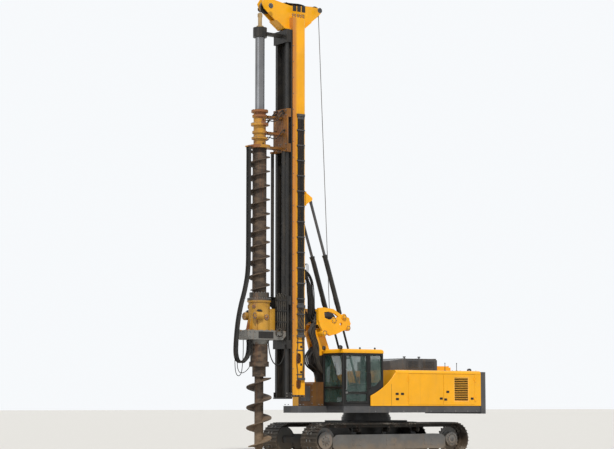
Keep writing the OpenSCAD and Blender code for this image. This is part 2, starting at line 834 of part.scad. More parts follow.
// Hoses up the boom's front web that hang out in a loop and end on the cross tube
// As [distance along the boom, distance in front of its middle]
boom_hose_route = [
    [300, 238.6], [520, 232.3], [720, 262], [880, 330], [1000, 430], [1130, 490], [1270, 470],
    [1390, 390], [1480, 290], [1530, 210], [1540, 160], [1540, 95.3]
];
boom_hose_radius = 25;
boom_hose_places = [-135, -75, 75, 135];
module boom_hoses() {
    ahead = [cos(boom_lean - 90), sin(boom_lean - 90)];
    up = [cos(boom_lean), sin(boom_lean)];
    color([0.05, 0.05, 0.05]) place() for (y = boom_hose_places)
        swept_tube([
            for (p = boom_hose_route)
                let (q = boom_foot + p[0] * up + (p[1] + (p[1] > 300 ? (abs(y) - 75) / 2 : 0)) * ahead)
                    [q[0], y, q[1]]
        ], boom_hose_radius);
}

// Rear link: two round bars with flat eyes, tied by a cross bar
module rear_link() {
    run = link_head - link_foot;
    middle = link_foot + run / 2;
    unit_run = run / norm(run);
    color([0.10, 0.10, 0.11]) place() {
        for (side = [-1, 1]) {
            y = side * link_bar_y;
            rod(link_foot + 70 * unit_run, link_head - 70 * unit_run, link_bar_radius / 2 + 8, y);
            for (eye = [link_foot, link_head])
                side_plate(y - 27, y + 27) translate(eye) difference() {
                    circle(link_eye_radius);
                    circle(link_pin_radius + pin_gap);
                }
        }
        shaft(middle[0], middle[1], 30, -link_bar_y, link_bar_y);
    }
}

// A cylinder from a base pin to an eye: barrel with its bore, and the rod with its eye
module cylinder_barrel(base, eye, y, barrel_radius, rod_radius, barrel_end, bore_start, pin_radius, half) {
    run = (eye - base) / norm(eye - base);
    difference() {
        union() {
            rod(base + (barrel_radius * 1.3) * run, base + barrel_end * run, barrel_radius, y);
            rod(base, base + (barrel_radius * 1.4) * run, half, y);
            rod(base + (barrel_end - 60) * run, base + barrel_end * run, barrel_radius + 10, y);
            shaft(base[0], base[1], barrel_radius, y - half, y + half);
        }
        rod(base + bore_start * run, base + (barrel_end + 1) * run, rod_radius + 0.5, y);
        shaft(base[0], base[1], pin_radius + pin_gap, y - barrel_radius - 20, y + barrel_radius + 20);
    }
}
module cylinder_rod(base, eye, y, rod_radius, rod_start, eye_radius, bore_radius, half) {
    span = norm(eye - base);
    run = (eye - base) / span;
    difference() {
        union() {
            rod(base + rod_start * run, base + (span - eye_radius - 40) * run, rod_radius, y);
            translate([base[0], y, base[1]]) rotate([0, atan2(run[0], run[1]), 0])
                translate([-rod_radius, -half, span - eye_radius - 80])
                    cube([2 * rod_radius, 2 * half, eye_radius + 60]);
            shaft(eye[0], eye[1], eye_radius, y - half, y + half);
        }
        shaft(eye[0], eye[1], bore_radius, y - rod_radius - half, y + rod_radius + half);
    }
}
module lift_barrel() {
    color([0.10, 0.10, 0.11]) place()
        cylinder_barrel(lift_base, lift_eye, 0, lift_barrel_radius, lift_rod_radius,
                        1120, 420, lift_pin_radius, 60);
}
module lift_rod() {
    color([0.70, 0.71, 0.72]) place()
        cylinder_rod(lift_base, lift_eye, 0, lift_rod_radius, 560, 88, lift_pin_radius + lift_eye_gap, 60);
}

// Yoke between boom and mast, with the winch drum in it

yoke_out = yoke_width / 2;
yoke_in = yoke_out - yoke_plate;
mast_pin = [2360, 4250];
mast_pin_radius = 55;
yoke_lug = 110;
drum = [1620, 4200];
stay_base = [1240, 4320];
stay_eye = [2410, 7940];
stay_y = 335;
stay_pin_radius = 40;
stay_rod_radius = 44;
stay_lug_pin_radius = 30;
stay_eye_gap = 14;
yoke_corners = [
    [2200, 4570], [1995, 4590], [1630, 4550], [1360, 4400], [1030, 4290], [980, 4120], [1020, 3990],
    [1490, 3790], [1770, 3720], [1880, 3790], [2040, 3850], [2155, 4020], [2200, 4200]
];
yoke_window = [
    [1990, 4440], [1800, 4470], [1560, 4400], [1440, 4320], [1540, 4250], [1800, 4215], [1960, 4270]
];
module yoke_outline() {
    difference() {
        union() {
            polygon(yoke_corners);
            translate(boom_head_pin) circle(100);
            translate(link_head) circle(95);
        }
        polygon(yoke_window);
        translate([1350, 4090]) circle(48);
    }
}
module yoke() {
    color([0.93, 0.64, 0.08]) place() difference() {
        union() {
            side_plates(yoke_in, yoke_out) yoke_outline();
            side_plates(yoke_out - 1, yoke_out + 14) intersection() {
                yoke_outline();
                translate([900, 3600]) square([1400, 550]);
            }
            side_plate(-yoke_in - 1, yoke_in + 1) translate([2060, 4060]) square([130, 480]);
            side_plate(-yoke_lug, yoke_lug) {
                translate(mast_pin) circle(115);
                translate([2189, 4120]) square([171, 245]);
            }
            shaft(boom_head_pin[0], boom_head_pin[1], boom_pin_radius, -yoke_in - 1, yoke_in + 1);
            shaft(link_head[0], link_head[1], link_pin_radius, -yoke_in - 1, yoke_in + 1);
            for (side = [0, 1]) mirror([0, side, 0]) {
                shaft(boom_head_pin[0], boom_head_pin[1], boom_pin_radius + 35, boom_out + 3, yoke_in + 1);
                shaft(link_head[0], link_head[1], link_pin_radius + 30, link_bar_y + 37, yoke_in + 1);
                shaft(stay_base[0], stay_base[1], stay_pin_radius, stay_y - 50, yoke_in + 1);
                shaft(stay_base[0], stay_base[1], 95, yoke_out - 1, yoke_out + 24);
            }
        }
        shaft(mast_pin[0], mast_pin[1], mast_pin_radius + pin_gap, -yoke_lug - 1, yoke_lug + 1);
    }
}
module winch_drum() {
    shafts_end = yoke_in - seat;
    color([0.16, 0.16, 0.17]) place() {
        shaft(drum[0], drum[1], drum_radius, -231, 231);
        for (side = [0, 1]) mirror([0, side, 0]) {
            shaft(drum[0], drum[1], drum_radius + 65, 230, 250);
            shaft(drum[0], drum[1], 60, 249, shafts_end);
        }
    }
}

// Backstays: a barrel and a rod on each side
module stay_barrels() {
    color([0.10, 0.10, 0.11]) place() for (side = [-1, 1])
        cylinder_barrel(stay_base, stay_eye, side * stay_y, stay_barrel_radius, stay_rod_radius,
                        2000, 900, stay_pin_radius, 46);
}
module stay_rods() {
    color([0.13, 0.13, 0.14]) place() for (side = [-1, 1])
        cylinder_rod(stay_base, stay_eye, side * stay_y, stay_rod_radius, 1260, 74,
                     stay_lug_pin_radius + stay_eye_gap, 21);
}

// Mast

mast_back = 2600;
mast_front = mast_back + mast_depth;
mast_half = mast_width / 2;
rail_front = mast_front + rail_depth;
mast_holes = [[2830, 2240], [2830, 3010]];
stay_lug_in = stay_y - 45;
stay_lug_out = stay_y + 45;
module oval(width, height) {
    translate([0, (height - width) / 2]) circle(width / 2);
    translate([0, (width - height) / 2]) circle(width / 2);
    translate([-width / 2, (width - height) / 2]) square([width, height - width]);
}
module stay_lug_outline() {
    translate(stay_eye) circle(68);
    polygon([
        [stay_eye[0] - 20, stay_eye[1] - 65], [mast_back - 10, stay_eye[1] - 190],
        [mast_back - 10, stay_eye[1] + 190], [stay_eye[0] - 20, stay_eye[1] + 65]
    ]);
}
module mast_box() {
    color([0.93, 0.64, 0.08]) place() {
        difference() {
            block([mast_back, -mast_half, mast_foot], [mast_front, mast_half, mast_top]);
            block([mast_back + mast_wall, -mast_half + mast_wall, mast_foot + mast_wall],
                  [mast_front - mast_wall, mast_half - mast_wall, mast_top - mast_wall]);
            for (hole = mast_holes)
                side_plate(-mast_half - 1, mast_half + 1) translate(hole) oval(190, 330);
        }
        for (side = [0, 1]) mirror([0, side, 0]) {
            side_plate(stay_lug_in, stay_lug_in + 20) stay_lug_outline();
            side_plate(stay_lug_out - 20, stay_lug_out) stay_lug_outline();
            block([mast_back - 24, stay_lug_in - 15, stay_eye[1] - 220],
                  [mast_back + 1, stay_lug_out + 10, stay_eye[1] + 220]);
            shaft(stay_eye[0], stay_eye[1], stay_lug_pin_radius, stay_lug_in, stay_lug_out);
        }
    }
}

// Guide rails on the mast's front, with the stop at the foot
rail_top = 13200;
rail_flange = 40;
module mast_rails() {
    foot_low = mast_foot - 60;
    color([0.12, 0.12, 0.13]) place() {
        block([mast_front + seat, -mast_half + 20, foot_low], [mast_front + 60, mast_half - 20, rail_top]);
        for (side = [0, 1]) mirror([0, side, 0]) {
            block([mast_front + 59, mast_half - 110, foot_low], [rail_front, mast_half - 75, rail_top]);
            block([rail_front - rail_flange, mast_half - 110, foot_low], [rail_front, mast_half, rail_top]);
        }
        block([mast_front + 59, -mast_half - 10, foot_low],
              [rail_front + 60, mast_half + 10, foot_low + 40]);
    }
}

// Bracket that hangs the mast on the yoke's pin
module mast_pivot() {
    color([0.10, 0.10, 0.11]) place() {
        side_plates(yoke_lug + 15, yoke_lug + 85) {
            translate(mast_pin) circle(118);
            polygon([
                [mast_pin[0], mast_pin[1] - 117], [mast_back - 30, mast_pin[1] - 330],
                [mast_back - 30, mast_pin[1] + 330], [mast_pin[0], mast_pin[1] + 117]
            ]);
        }
        block([mast_back - 40, -mast_half + 20, mast_pin[1] - 400],
              [mast_back - seat, mast_half - 20, mast_pin[1] + 400]);
        shaft(mast_pin[0], mast_pin[1], mast_pin_radius, -yoke_lug - 85, yoke_lug + 85);
    }
}

// Mast head: web plates with a front and a rear arm, and a sheave at each end
front_sheave = [3860, 13850];
rear_sheave = [2000, 13950];
front_sheave_radius = 200;
rear_sheave_radius = 180;
web_in = 110;
web_out = 140;
module mast_head() {
    back = mast_back - seat;
    front = mast_front + seat;
    web = [
        [back, mast_top + seat], [back, 13280], [2560, 13280], [1960, 13790], [1850, 13900], [1870, 14060],
        [2300, 14070], [3000, 14000], [3650, 14110], [3980, 14110], [4080, 13950], [4000, 13790],
        [3350, 13290], [3260, 13230], [front, 13230], [front, mast_top + seat]
    ];
    color([0.93, 0.64, 0.08]) place() {
        side_plates(web_in, web_out) polygon(web);
        block([mast_back + 10, -mast_half + 30, mast_top + seat],
              [mast_front - 10, mast_half - 30, mast_top + 36]);
        side_plate(-210, 210) polygon([
            [front, 13230], [3260, 13230], [3580, 13470], [3555, 13502], [3250, 13270], [front, 13270]
        ]);
        side_plate(-210, 210) polygon([
            [back, 13280], [2560, 13280], [2250, 13543], [2276, 13574], [2575, 13320], [back, 13320]
        ]);
    }
}
module sheave(centre, radius) {
    translate([centre[0], 0, centre[1]]) rotate([90, 0, 0]) rotate_extrude($fn = 64) polygon([
        [0, -45], [radius, -45], [radius, -30], [radius - 32, -10], [radius - 32, 10], [radius, 30],
        [radius, 45], [0, 45]
    ]);
    shaft(centre[0], centre[1], 45, -web_in + seat, web_in - seat);
}
module head_sheaves() {
    color([0.14, 0.14, 0.15]) place() {
        sheave(front_sheave, front_sheave_radius);
        sheave(rear_sheave, rear_sheave_radius);
    }
}

// Hoses clipped along the mast's near side
hose_places = [2665, 2715, 2765, 2815, 2865];
module mast_hoses() {
    color([0.05, 0.05, 0.05]) place() {
        for (x = hose_places)
            translate([x, mast_half + 28, 4600]) cylinder(h = 5900, r = 21, $fn = 16);
        for (z = [4700:720:10460])
            block([hose_places[0] - 34, mast_half + seat, z], [hose_places[4] + 34, mast_half + 40, z + 40]);
    }
}

// Crowd: the sledges, the rotary head and what hangs on the rope

head_shaft_radius = 118;
head_bore_radius = 124;
coupler_top = 3420;
head_base_low = 3560;
head_base_high = 3840;
gearbox_high = 4830;
collar_high = 4980;
swivel_low = 9420;
swivel_high = 10600;
tube_high = 13100;
sledge_low = 3300;
sledge_high = 4900;
upper_sledge_low = 9350;
upper_sledge_high = 10700;
sledge_face = rail_front + seat;
link_tube_x = 3380;
link_tube_y = [-300, 300];
cheek_in = mast_half + 6;
hook_in = mast_half - 75 + 6;

// Sledge: a front plate on the rails, cheeks at their sides and hooks behind their flanges
module sledge(low, high, depth) {
    block([sledge_face, -cheek_in - 40, low], [sledge_face + depth, cheek_in + 40, high]);
    for (side = [0, 1], z = [low, high - 260]) mirror([0, side, 0]) {
        block([rail_front - rail_flange - 60, cheek_in, z], [sledge_face + 1, cheek_in + 40, z + 260]);
        block([rail_front - rail_flange - 60, hook_in, z],
              [rail_front - rail_flange - 6, cheek_in + 1, z + 260]);
    }
}
module lower_sledge() {
    color([0.13, 0.13, 0.14]) place() {
        sledge(sledge_low, sledge_high, 50);
        side_plates(300, 330) difference() {
            polygon([
                [sledge_face + 49, 3860], [sledge_face + 49, sledge_high], [3560, sledge_high], [3680, 4700],
                [3680, 3860]
            ]);
            translate([3480, 4500]) circle(110);
            translate([3500, 4120]) circle(90);
        }
        for (y = link_tube_y)
            translate([link_tube_x, y, sledge_high - 20])
                cylinder(h = upper_sledge_low - sledge_high + 20 - seat, r = 52, $fn = 32);
    }
}

// Rotary head: grey base, gearbox with its motors, a collar on top and the bore for the string
module head_bore(low, high) {
    translate([string_reach, 0, low]) cylinder(h = high - low, r = head_bore_radius);
}
module rotary_head() {
    color([0.86, 0.60, 0.14]) place() difference() {
        union() {
            side_plate(-330, 330) polygon([
                [sledge_face + 50 + seat, head_base_low + 120], [3420, head_base_low], [4560, head_base_low],
                [4680, head_base_low + 90], [4680, head_base_high], [sledge_face + 50 + seat, head_base_high]
            ]);
            translate([string_reach, 0, coupler_top + seat]) cylinder(h = 150, r1 = 250, r2 = 330);
            translate([string_reach, 0, head_base_high - 1])
                cylinder(h = gearbox_high - head_base_high + 1, r = 330);
            translate([string_reach, 0, gearbox_high - 130]) cylinder(h = 100, r = 365);
            translate([string_reach, 0, gearbox_high - 1])
                cylinder(h = collar_high - gearbox_high + 1, r = 300);
            for (side = [-1, 1])
                translate([string_reach + 110, side * 300, 4280])
                    rotate([0, 90, 0]) cylinder(h = 230, r = 120);
            block([3640, -250, head_base_high - 1], [3900, 250, 4500]);
        }
        head_bore(coupler_top - 1, collar_high + 1);
    }
}

// Upper sledge with arms to the swivel, as [height, radius of the swivel there]
swivel_arms = [[9430, 330], [9880, 230], [10380, 230]];
module upper_sledge() {
    color([0.13, 0.13, 0.14]) place() {
        sledge(upper_sledge_low, upper_sledge_high, 50);
        for (arm = swivel_arms)
            block([sledge_face + 49, -120, arm[0]], [string_reach - arm[1] - seat, 120, arm[0] + 70]);
        for (y = link_tube_y)
            block([sledge_face + 49, y - 52, upper_sledge_low],
                  [link_tube_x + 60, y + 52, upper_sledge_low + 50]);
    }
}
module upper_swivel() {
    color([0.62, 0.42, 0.12]) place() difference() {
        union() {
            translate([string_reach, 0, swivel_low]) cylinder(h = swivel_high - swivel_low, r = 190);
            for (z = [[swivel_low, 90, 330], [9700, 50, 250], [9880, 70, 230], [10120, 70, 270],
                      [10380, 70, 230], [10530, 70, 260]])
                translate([string_reach, 0, z[0]]) cylinder(h = z[1], r = z[2]);
            block([string_reach + 250, -125, swivel_low + 20], [string_reach + 450, 125, swivel_low + 60]);
        }
        head_bore(swivel_low - 1, swivel_high + 1);
    }
}

// Guide at the top of the tube, with its arm back to the rails, and the rope's swivel above it
module top_guide() {
    low = 12880;
    color([0.12, 0.12, 0.13]) place() {
        difference() {
            union() {
                translate([string_reach, 0, low]) cylinder(h = 300, r = 215);
                block([sledge_face + 40, -70, low + 90], [string_reach, 70, low + 190]);
            }
            translate([string_reach, 0, low - 1])
                cylinder(h = tube_high - low + 1 + seat, r = tube_radius + 5);
        }
        sledge(low - 100, low + 300, 45);
    }
}
module rope_swivel() {
    color([0.66, 0.55, 0.36]) place() {
        translate([string_reach, 0, 13180 + seat]) {
            cylinder(h = 60, r = 110);
            cylinder(h = 380, r = 62);
        }
        side_plates(18, 46) translate([string_reach, 13600]) {
            circle(62);
            translate([-62, -80]) square([124, 80]);
        }
        shaft(string_reach, 13640, 22, -46, 46);
    }
}

// Hoses in front of the rotary head: down from the swivel and back under the head
// As [distance in front of the string, height]
head_hose_route = [
    [370, swivel_low + 20 - seat], [370, 9000], [370, 8200], [370, 7300], [370, 6500],
    [375, 5900], [410, 5480], [500, 5050], [620, 4640], [710, 4250], [770, 3850], [805, 3450],
    [808, 3150], [760, 2960], [660, 2880], [540, 2900], [420, 3020], [360, 3180], [340, 3380],
    [340, head_base_low - seat]
];
module head_hoses() {
    color([0.05, 0.05, 0.05]) place() for (y = [-90, -30, 30, 90])
        swept_tube([for (p = head_hose_route) [string_reach + p[0] + abs(y) / 3, y, p[1]]], 27);
}

// Drill string

stem_low = 2450;
coupler_low = 2800;
tip_high = 320;
module string_shaft(low, high, radius) {
    translate([string_reach, 0, low]) cylinder(h = high - low, r = radius);
}
module string_stem() {
    color([0.42, 0.31, 0.21]) place() {
        string_shaft(60, tip_high + 1, lower_stem_radius - 20);
        translate([string_reach, 0, 0]) cylinder(h = 61, r1 = 40, r2 = 100);
        for (side = [0, 180])
            translate([string_reach, 0, 0]) rotate([0, 0, side]) {
                block([100, -40, 90], [330, 40, 130]);
                for (x = [130, 210, 290])
                    block([x - 22, -30, 12], [x + 22, 30, 91]);
            }
        string_shaft(tip_high, stem_low + 1, lower_stem_radius);
        string_shaft(stem_low, coupler_low + 1, lower_stem_radius + 70);
        string_shaft(2750, 2900, 300);
        string_shaft(coupler_low, coupler_top, 265);
        string_shaft(coupler_top - 1, swivel_high, head_shaft_radius);
        string_shaft(collar_high + seat, swivel_low - seat, upper_core_radius);
    }
}
module steel_tube() {
    color([0.55, 0.56, 0.57]) place() string_shaft(swivel_high + seat, tube_high, tube_radius);
}
// A helical flight: one ribbon with a set number of steps to a turn
flight_steps = 24;
module flight(inner, outer, pitch, low, high) {
    turns = (high - low) / pitch;
    steps = ceil(turns * flight_steps);
    points = [
        for (i = [0:steps])
            let (a = 360 * turns * i / steps, z = low + (high - low) * i / steps)
                for (corner = [[inner, 0], [outer, 0], [outer, flight_thickness], [inner, flight_thickness]])
                    [corner[0] * cos(a), corner[0] * sin(a), z + corner[1]]
    ];
    walls = [
        for (i = [0:steps - 1], k = [0:3])
            let (a = 4 * i, b = 4 * i + 4, n = (k + 1) % 4)
                each [[a + k, b + k, b + n], [a + k, b + n, a + n]]
    ];
    first = [[0, 1, 2, 3]];
    last = [[4 * steps + 3, 4 * steps + 2, 4 * steps + 1, 4 * steps]];
    translate([string_reach, 0, 0]) polyhedron(points, concat(walls, first, last));
}
function around(radius) = (radius + seat) / cos(180 / flight_steps);
module string_flights() {
    color([0.36, 0.26, 0.18]) place() {
        flight(around(lower_stem_radius), lower_flight_radius, lower_pitch, tip_high + 20, stem_low - 60);
        flight(around(upper_core_radius), upper_flight_radius, upper_pitch,
               collar_high + 60, swivel_low - 80);
    }
}

track_left();
track_right();
track_frame_left();
track_frame_right();
idlers();
sprockets();
rollers();
car_body();
slew_ring();
deck_frame();
deck_nose();
nose_box();
counterweight();
house_left();
house_right();
hood();
door_left_mid();
door_left_rear();
door_right_mid();
door_right_rear();
grille_left();
grille_right();
hood_box();
engine_block();
tank_box();
cab_shell();
cab_roof();
cab_glass();
cab_door();
door_glass();
cab_stool();
cab_console();
boom_bracket();
boom();
boom_head();
boom_hoses();
rear_link();
lift_barrel();
lift_rod();
yoke();
winch_drum();
mast_pivot();
stay_barrels();
stay_rods();
mast_box();
mast_rails();
mast_head();
head_sheaves();
mast_hoses();
lower_sledge();
rotary_head();
upper_sledge();
upper_swivel();
top_guide();
rope_swivel();
head_hoses();
string_stem();
string_flights();
steel_tube();
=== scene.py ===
"""Rotary piling rig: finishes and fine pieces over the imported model, in metres."""
import json
import math

import bmesh
import bpy
import numpy as np
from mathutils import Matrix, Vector


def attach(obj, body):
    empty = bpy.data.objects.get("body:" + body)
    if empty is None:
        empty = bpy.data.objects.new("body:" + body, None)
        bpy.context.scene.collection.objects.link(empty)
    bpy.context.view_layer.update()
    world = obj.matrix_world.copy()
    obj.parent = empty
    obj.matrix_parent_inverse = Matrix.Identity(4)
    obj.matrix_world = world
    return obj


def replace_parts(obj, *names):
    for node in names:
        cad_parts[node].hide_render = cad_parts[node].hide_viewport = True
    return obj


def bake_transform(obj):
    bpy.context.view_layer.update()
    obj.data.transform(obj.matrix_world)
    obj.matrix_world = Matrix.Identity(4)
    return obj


bl_info = {
    "name": "Rotary piling rig",
    "version": (1, 0, 0),
    "blender": (4, 5, 0),
    "location": "View3D > Sidebar > Piling rig",
    "description": "Finishes, hoses, ropes, fastenings and trim of a rotary piling rig",
    "category": "Add Mesh",
}

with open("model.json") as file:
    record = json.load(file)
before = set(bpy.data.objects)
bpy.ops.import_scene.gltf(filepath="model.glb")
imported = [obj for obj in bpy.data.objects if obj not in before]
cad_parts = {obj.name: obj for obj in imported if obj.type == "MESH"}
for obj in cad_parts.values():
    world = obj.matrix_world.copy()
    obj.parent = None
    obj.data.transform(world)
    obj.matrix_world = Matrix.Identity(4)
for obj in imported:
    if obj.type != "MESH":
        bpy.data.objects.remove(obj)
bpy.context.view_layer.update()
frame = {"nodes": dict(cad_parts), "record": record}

# Distance from the slewing axis to the middle of the whole, along X, in metres
AXIS_X = 0.5525
# Faces and axes of the solids, in millimetres from the slewing axis on the ground. The sides are Y, the same
# on both sides of the middle plane.
MAST_SIDE, HEAD_SIDE, TOP_SIDE, HOUSE_SIDE, DECK_SIDE, FRAME_SIDE = 330, 330, 300, 1420, 1400, 1240
STRING_X, DECK_TOP, HOOD_TOP = 4060, 1600, 2680
UP = np.array([0.0, 0.0, 1.0])
ACROSS = np.array([0.0, 1.0, 0.0])
AHEAD = np.array([1.0, 0.0, 0.0])


def at(x, y, z):
    """A place given in millimetres from the slewing axis on the ground, in the frame's metres."""
    return np.array([x / 1000 - AXIS_X, y / 1000, z / 1000])


def unit(vector):
    """A vector, or each of a row of vectors, divided by its own length."""
    vector = np.asarray(vector, float)
    return vector / np.linalg.norm(vector, axis=-1, keepdims=True)


class Shape:
    """Points and faces of one piece, gathered from several surfaces."""

    def __init__(self):
        self.points = []
        self.faces = []
        self.count = 0

    def add(self, points, *face_arrays):
        """Takes over a surface: its face numbers are raised by the count of the points so far."""
        points = np.asarray(points, float).reshape(-1, 3)
        for faces in face_arrays:
            self.faces.append(np.asarray(faces, int) + self.count)
        self.points.append(points)
        self.count += len(points)

    def add_many(self, points, places, *face_arrays):
        """The same points moved to each place: every place adds its own vector to all points."""
        points = np.asarray(points, float).reshape(-1, 3)
        places = np.asarray(places, float).reshape(-1, 3)
        moved = (points[None, :, :] + places[:, None, :]).reshape(-1, 3)
        steps = np.arange(len(places)) * len(points)
        for faces in face_arrays:
            faces = np.asarray(faces, int)
            grown = (faces[None, :, :] + steps[:, None, None]).reshape(-1, faces.shape[1])
            self.faces.append(grown + self.count)
        self.points.append(moved)
        self.count += len(moved)

    def put(self, surface, place):
        """A surface moved from the origin: the place is added to each of its points."""
        points, *face_arrays = surface
        self.add(points + place, *face_arrays)

    def block(self, low, high, edge=0.002):
        """A block between two opposite corners given in millimetres."""
        self.add(*slab(at(*low), at(*high), edge))

    def piece(self, name, body, look, smooth=30, slot=None):
        """Makes the object, gives it its finish, and lets it ride on a body, if one is named; the slot is not
        used.
        """
        mesh = bpy.data.meshes.new(name)
        faces = [f for array in self.faces for f in array.tolist()]
        mesh.from_pydata(np.concatenate(self.points).tolist(), [], faces)
        work = bmesh.new()
        work.from_mesh(mesh)
        bmesh.ops.remove_doubles(work, verts=work.verts, dist=1e-6)
        bmesh.ops.recalc_face_normals(work, faces=work.faces)
        work.to_mesh(mesh)
        work.free()
        mesh.shade_smooth()
        mesh.set_sharp_from_angle(angle=math.radians(smooth))
        mesh.materials.append(finish(look))
        made = bpy.data.objects.new(name, mesh)
        bpy.context.scene.collection.objects.link(made)
        if body:
            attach(made, body)
        return made


def grid_faces(rows, columns, wrap=True):
    """Quads between neighbouring rows of points; with wrap, each row closes on itself."""
    last = columns if wrap else columns - 1
    i, k = np.meshgrid(np.arange(rows - 1), np.arange(last), indexing="ij")
    n = (k + 1) % columns
    quads = np.stack([i * columns + k, (i + 1) * columns + k, (i + 1) * columns + n, i * columns + n], -1)
    return quads.reshape(-1, 4)


def end_faces(rows, columns):
    """The first and the last row of points, each closed by one face."""
    first = np.arange(columns)[::-1]
    last = np.arange(columns) + (rows - 1) * columns
    return np.stack([first, last])


def smooth_path(points, steps=6):
    """A curve through the points: on each span a cubic, its end slopes half the chord of the neighbours."""
    points = np.asarray(points, float)
    padded = np.vstack([2 * points[0] - points[1], points, 2 * points[-1] - points[-2]])
    t = np.linspace(0, 1, steps, endpoint=False)[None, :, None]
    a, b, c, d = (padded[i:len(padded) - 3 + i][:, None, :] for i in range(4))
    square, cube = 2 * a - 5 * b + 4 * c - d, 3 * b - a - 3 * c + d
    spans = 0.5 * (2 * b + (c - a) * t + square * t ** 2 + cube * t ** 3)
    return np.vstack([spans.reshape(-1, 3), points[-1:]])


def course(points, steps=6):
    """A curve through points given in millimetres."""
    return smooth_path([at(*p) for p in points], steps)


def straight(start, end, count):
    """Places spread evenly from one to another, both given in millimetres."""
    return np.linspace(at(*start), at(*end), count)


def closed_loop(points):
    """A path through the points that returns to its start and runs one step past it."""
    return np.vstack([points, points[:2]])


def path_frames(path, aside=None):
    """Two unit vectors square to a path at each of its points: the cross product of its direction and
    aside, and that of its direction and the first."""
    along = unit(np.gradient(path, axis=0))
    aside = ACROSS if aside is None else np.asarray(aside, float)
    first = unit(np.cross(along, aside) + 1e-9 * UP)
    return first, np.cross(along, first)


def tube(path, radius, sides=12, aside=None):
    """A circle carried along a path: the path's point plus the radius, one number or one for each
    point, times cosine and sine along two vectors square to the path."""
    path = np.asarray(path, float)
    first, second = path_frames(path, aside)
    radius = np.broadcast_to(np.asarray(radius, float), (len(path),))[:, None, None]
    turn = np.linspace(0, 2 * math.pi, sides, endpoint=False)[None, :, None]
    ring = np.cos(turn) * first[:, None, :] + np.sin(turn) * second[:, None, :]
    points = path[:, None, :] + radius * ring
    return points, grid_faces(len(path), sides), end_faces(len(path), sides)


def frame_of(axis):
    """Two unit vectors square to an axis: a helper's cross product with it, and the axis's with that."""
    axis = unit(axis)
    helper = UP if abs(axis[2]) < 0.9 else AHEAD
    first = unit(np.cross(helper, axis))
    return first, np.cross(axis, first)


def ring_of(centre, radius, count, u=AHEAD, v=ACROSS):
    """Places spread evenly on a circle: the centre, plus the radius times cosine along u and sine along v."""
    turn = 2 * math.pi * np.arange(count)[:, None] / count
    return centre + radius * (np.cos(turn) * u + np.sin(turn) * v)


def turned(profile, axis=UP, sides=32):
    """A profile of [radius, height] turned about an axis: radius times a circle, plus height along the axis."""
    profile = np.asarray(profile, float)
    axis = unit(axis)
    first, second = frame_of(axis)
    turn = np.linspace(0, 2 * math.pi, sides, endpoint=False)[None, :, None]
    ring = np.cos(turn) * first + np.sin(turn) * second
    points = profile[:, 0][:, None, None] * ring + profile[:, 1][:, None, None] * axis
    return points.reshape(-1, 3), grid_faces(len(profile), sides), end_faces(len(profile), sides)


def slab(low, high, edge=0.004):
    """A block whose twelve edges are cut by a small slope: four rings of eight points up its height."""
    low, high = np.minimum(low, high), np.maximum(low, high)
    edge = min(edge, 0.45 * float((high - low).min()))
    rings = []
    for z, inset in [(low[2], edge), (low[2] + edge, 0.0), (high[2] - edge, 0.0), (high[2], edge)]:
        x0, x1, y0, y1 = low[0] + inset, high[0] - inset, low[1] + inset, high[1] - inset
        rings += [[x0 + edge, y0, z], [x1 - edge, y0, z], [x1, y0 + edge, z], [x1, y1 - edge, z],
                  [x1 - edge, y1, z], [x0 + edge, y1, z], [x0, y1 - edge, z], [x0, y0 + edge, z]]
    return np.array(rings), grid_faces(4, 8), end_faces(4, 8)


def panel(outline, thickness, origin, along_u, along_v, edge=0.004):
    """A flat outline given as [u, v], thickened along the normal, its rim cut by a small slope."""
    outline = np.asarray(outline, float)
    u, v = unit(along_u), unit(along_v)
    normal = np.cross(u, v)
    before = np.roll(outline, 1, axis=0)
    after = np.roll(outline, -1, axis=0)
    slope = unit(unit(outline - before) + unit(after - outline) + 1e-9)
    inward = np.stack([-slope[:, 1], slope[:, 0]], -1)
    area = np.sum(outline[:, 0] * after[:, 1] - after[:, 0] * outline[:, 1])
    inner = outline + np.sign(area) * edge * inward
    rings = []
    for ring, height in [(inner, 0.0), (outline, edge), (outline, thickness - edge), (inner, thickness)]:
        rings.append(origin + ring[:, :1] * u + ring[:, 1:] * v + height * normal)
    count = len(outline)
    return np.concatenate(rings), grid_faces(4, count), end_faces(4, count)


def bolt_head(axis, size):
    """A hexagon head with sloped corners on a round washer, standing on the origin."""
    scale = size * np.array([1.0, 0.62])
    washer = [[0.2, 0], [0.72, 0], [0.72, 0.18], [0.2, 0.2]]
    head = [[0.3, 0.16], [0.56, 0.18], [0.56, 0.86], [0.47, 1.0]]
    return turned(washer * scale, axis, 16), turned(head * scale, axis, 6)


def add_bolts(shape, places, axis, size):
    """Bolt heads at each place, all facing along one axis."""
    for points, walls, ends in bolt_head(axis, size):
        shape.add_many(points, places, walls, ends)


# Finishes: node groups that several materials share


def new_group(name, inputs, outputs):
    """An empty shader node group with named inputs, as (name, kind, default), and outputs."""
    group = bpy.data.node_groups.new(name, "ShaderNodeTree")
    for label, kind, value in inputs:
        socket = group.interface.new_socket(name=label, in_out="INPUT", socket_type="NodeSocket" + kind)
        if value is not None:
            socket.default_value = value
    for label, kind in outputs:
        group.interface.new_socket(name=label, in_out="OUTPUT", socket_type="NodeSocket" + kind)
    start = group.nodes.new("NodeGroupInput")
    end = group.nodes.new("NodeGroupOutput")
    return group, start.outputs, end.inputs


def node(tree, kind, inputs=(), **settings):
    """Adds a node, sets its options, and fills its inputs with values or links."""
    made = tree.nodes.new("ShaderNode" + kind)
    for key, value in settings.items():
        setattr(made, key, value)
    for key, value in dict(inputs).items():
        socket = made.inputs[key]
        if isinstance(value, bpy.types.NodeSocket):
            tree.links.new(value, socket)
        else:
            socket.default_value = value
    return made


def new_tree(material):
    """The emptied node tree of a material or a world."""
    material.use_nodes = True
    material.node_tree.nodes.clear()
    return material.node_tree


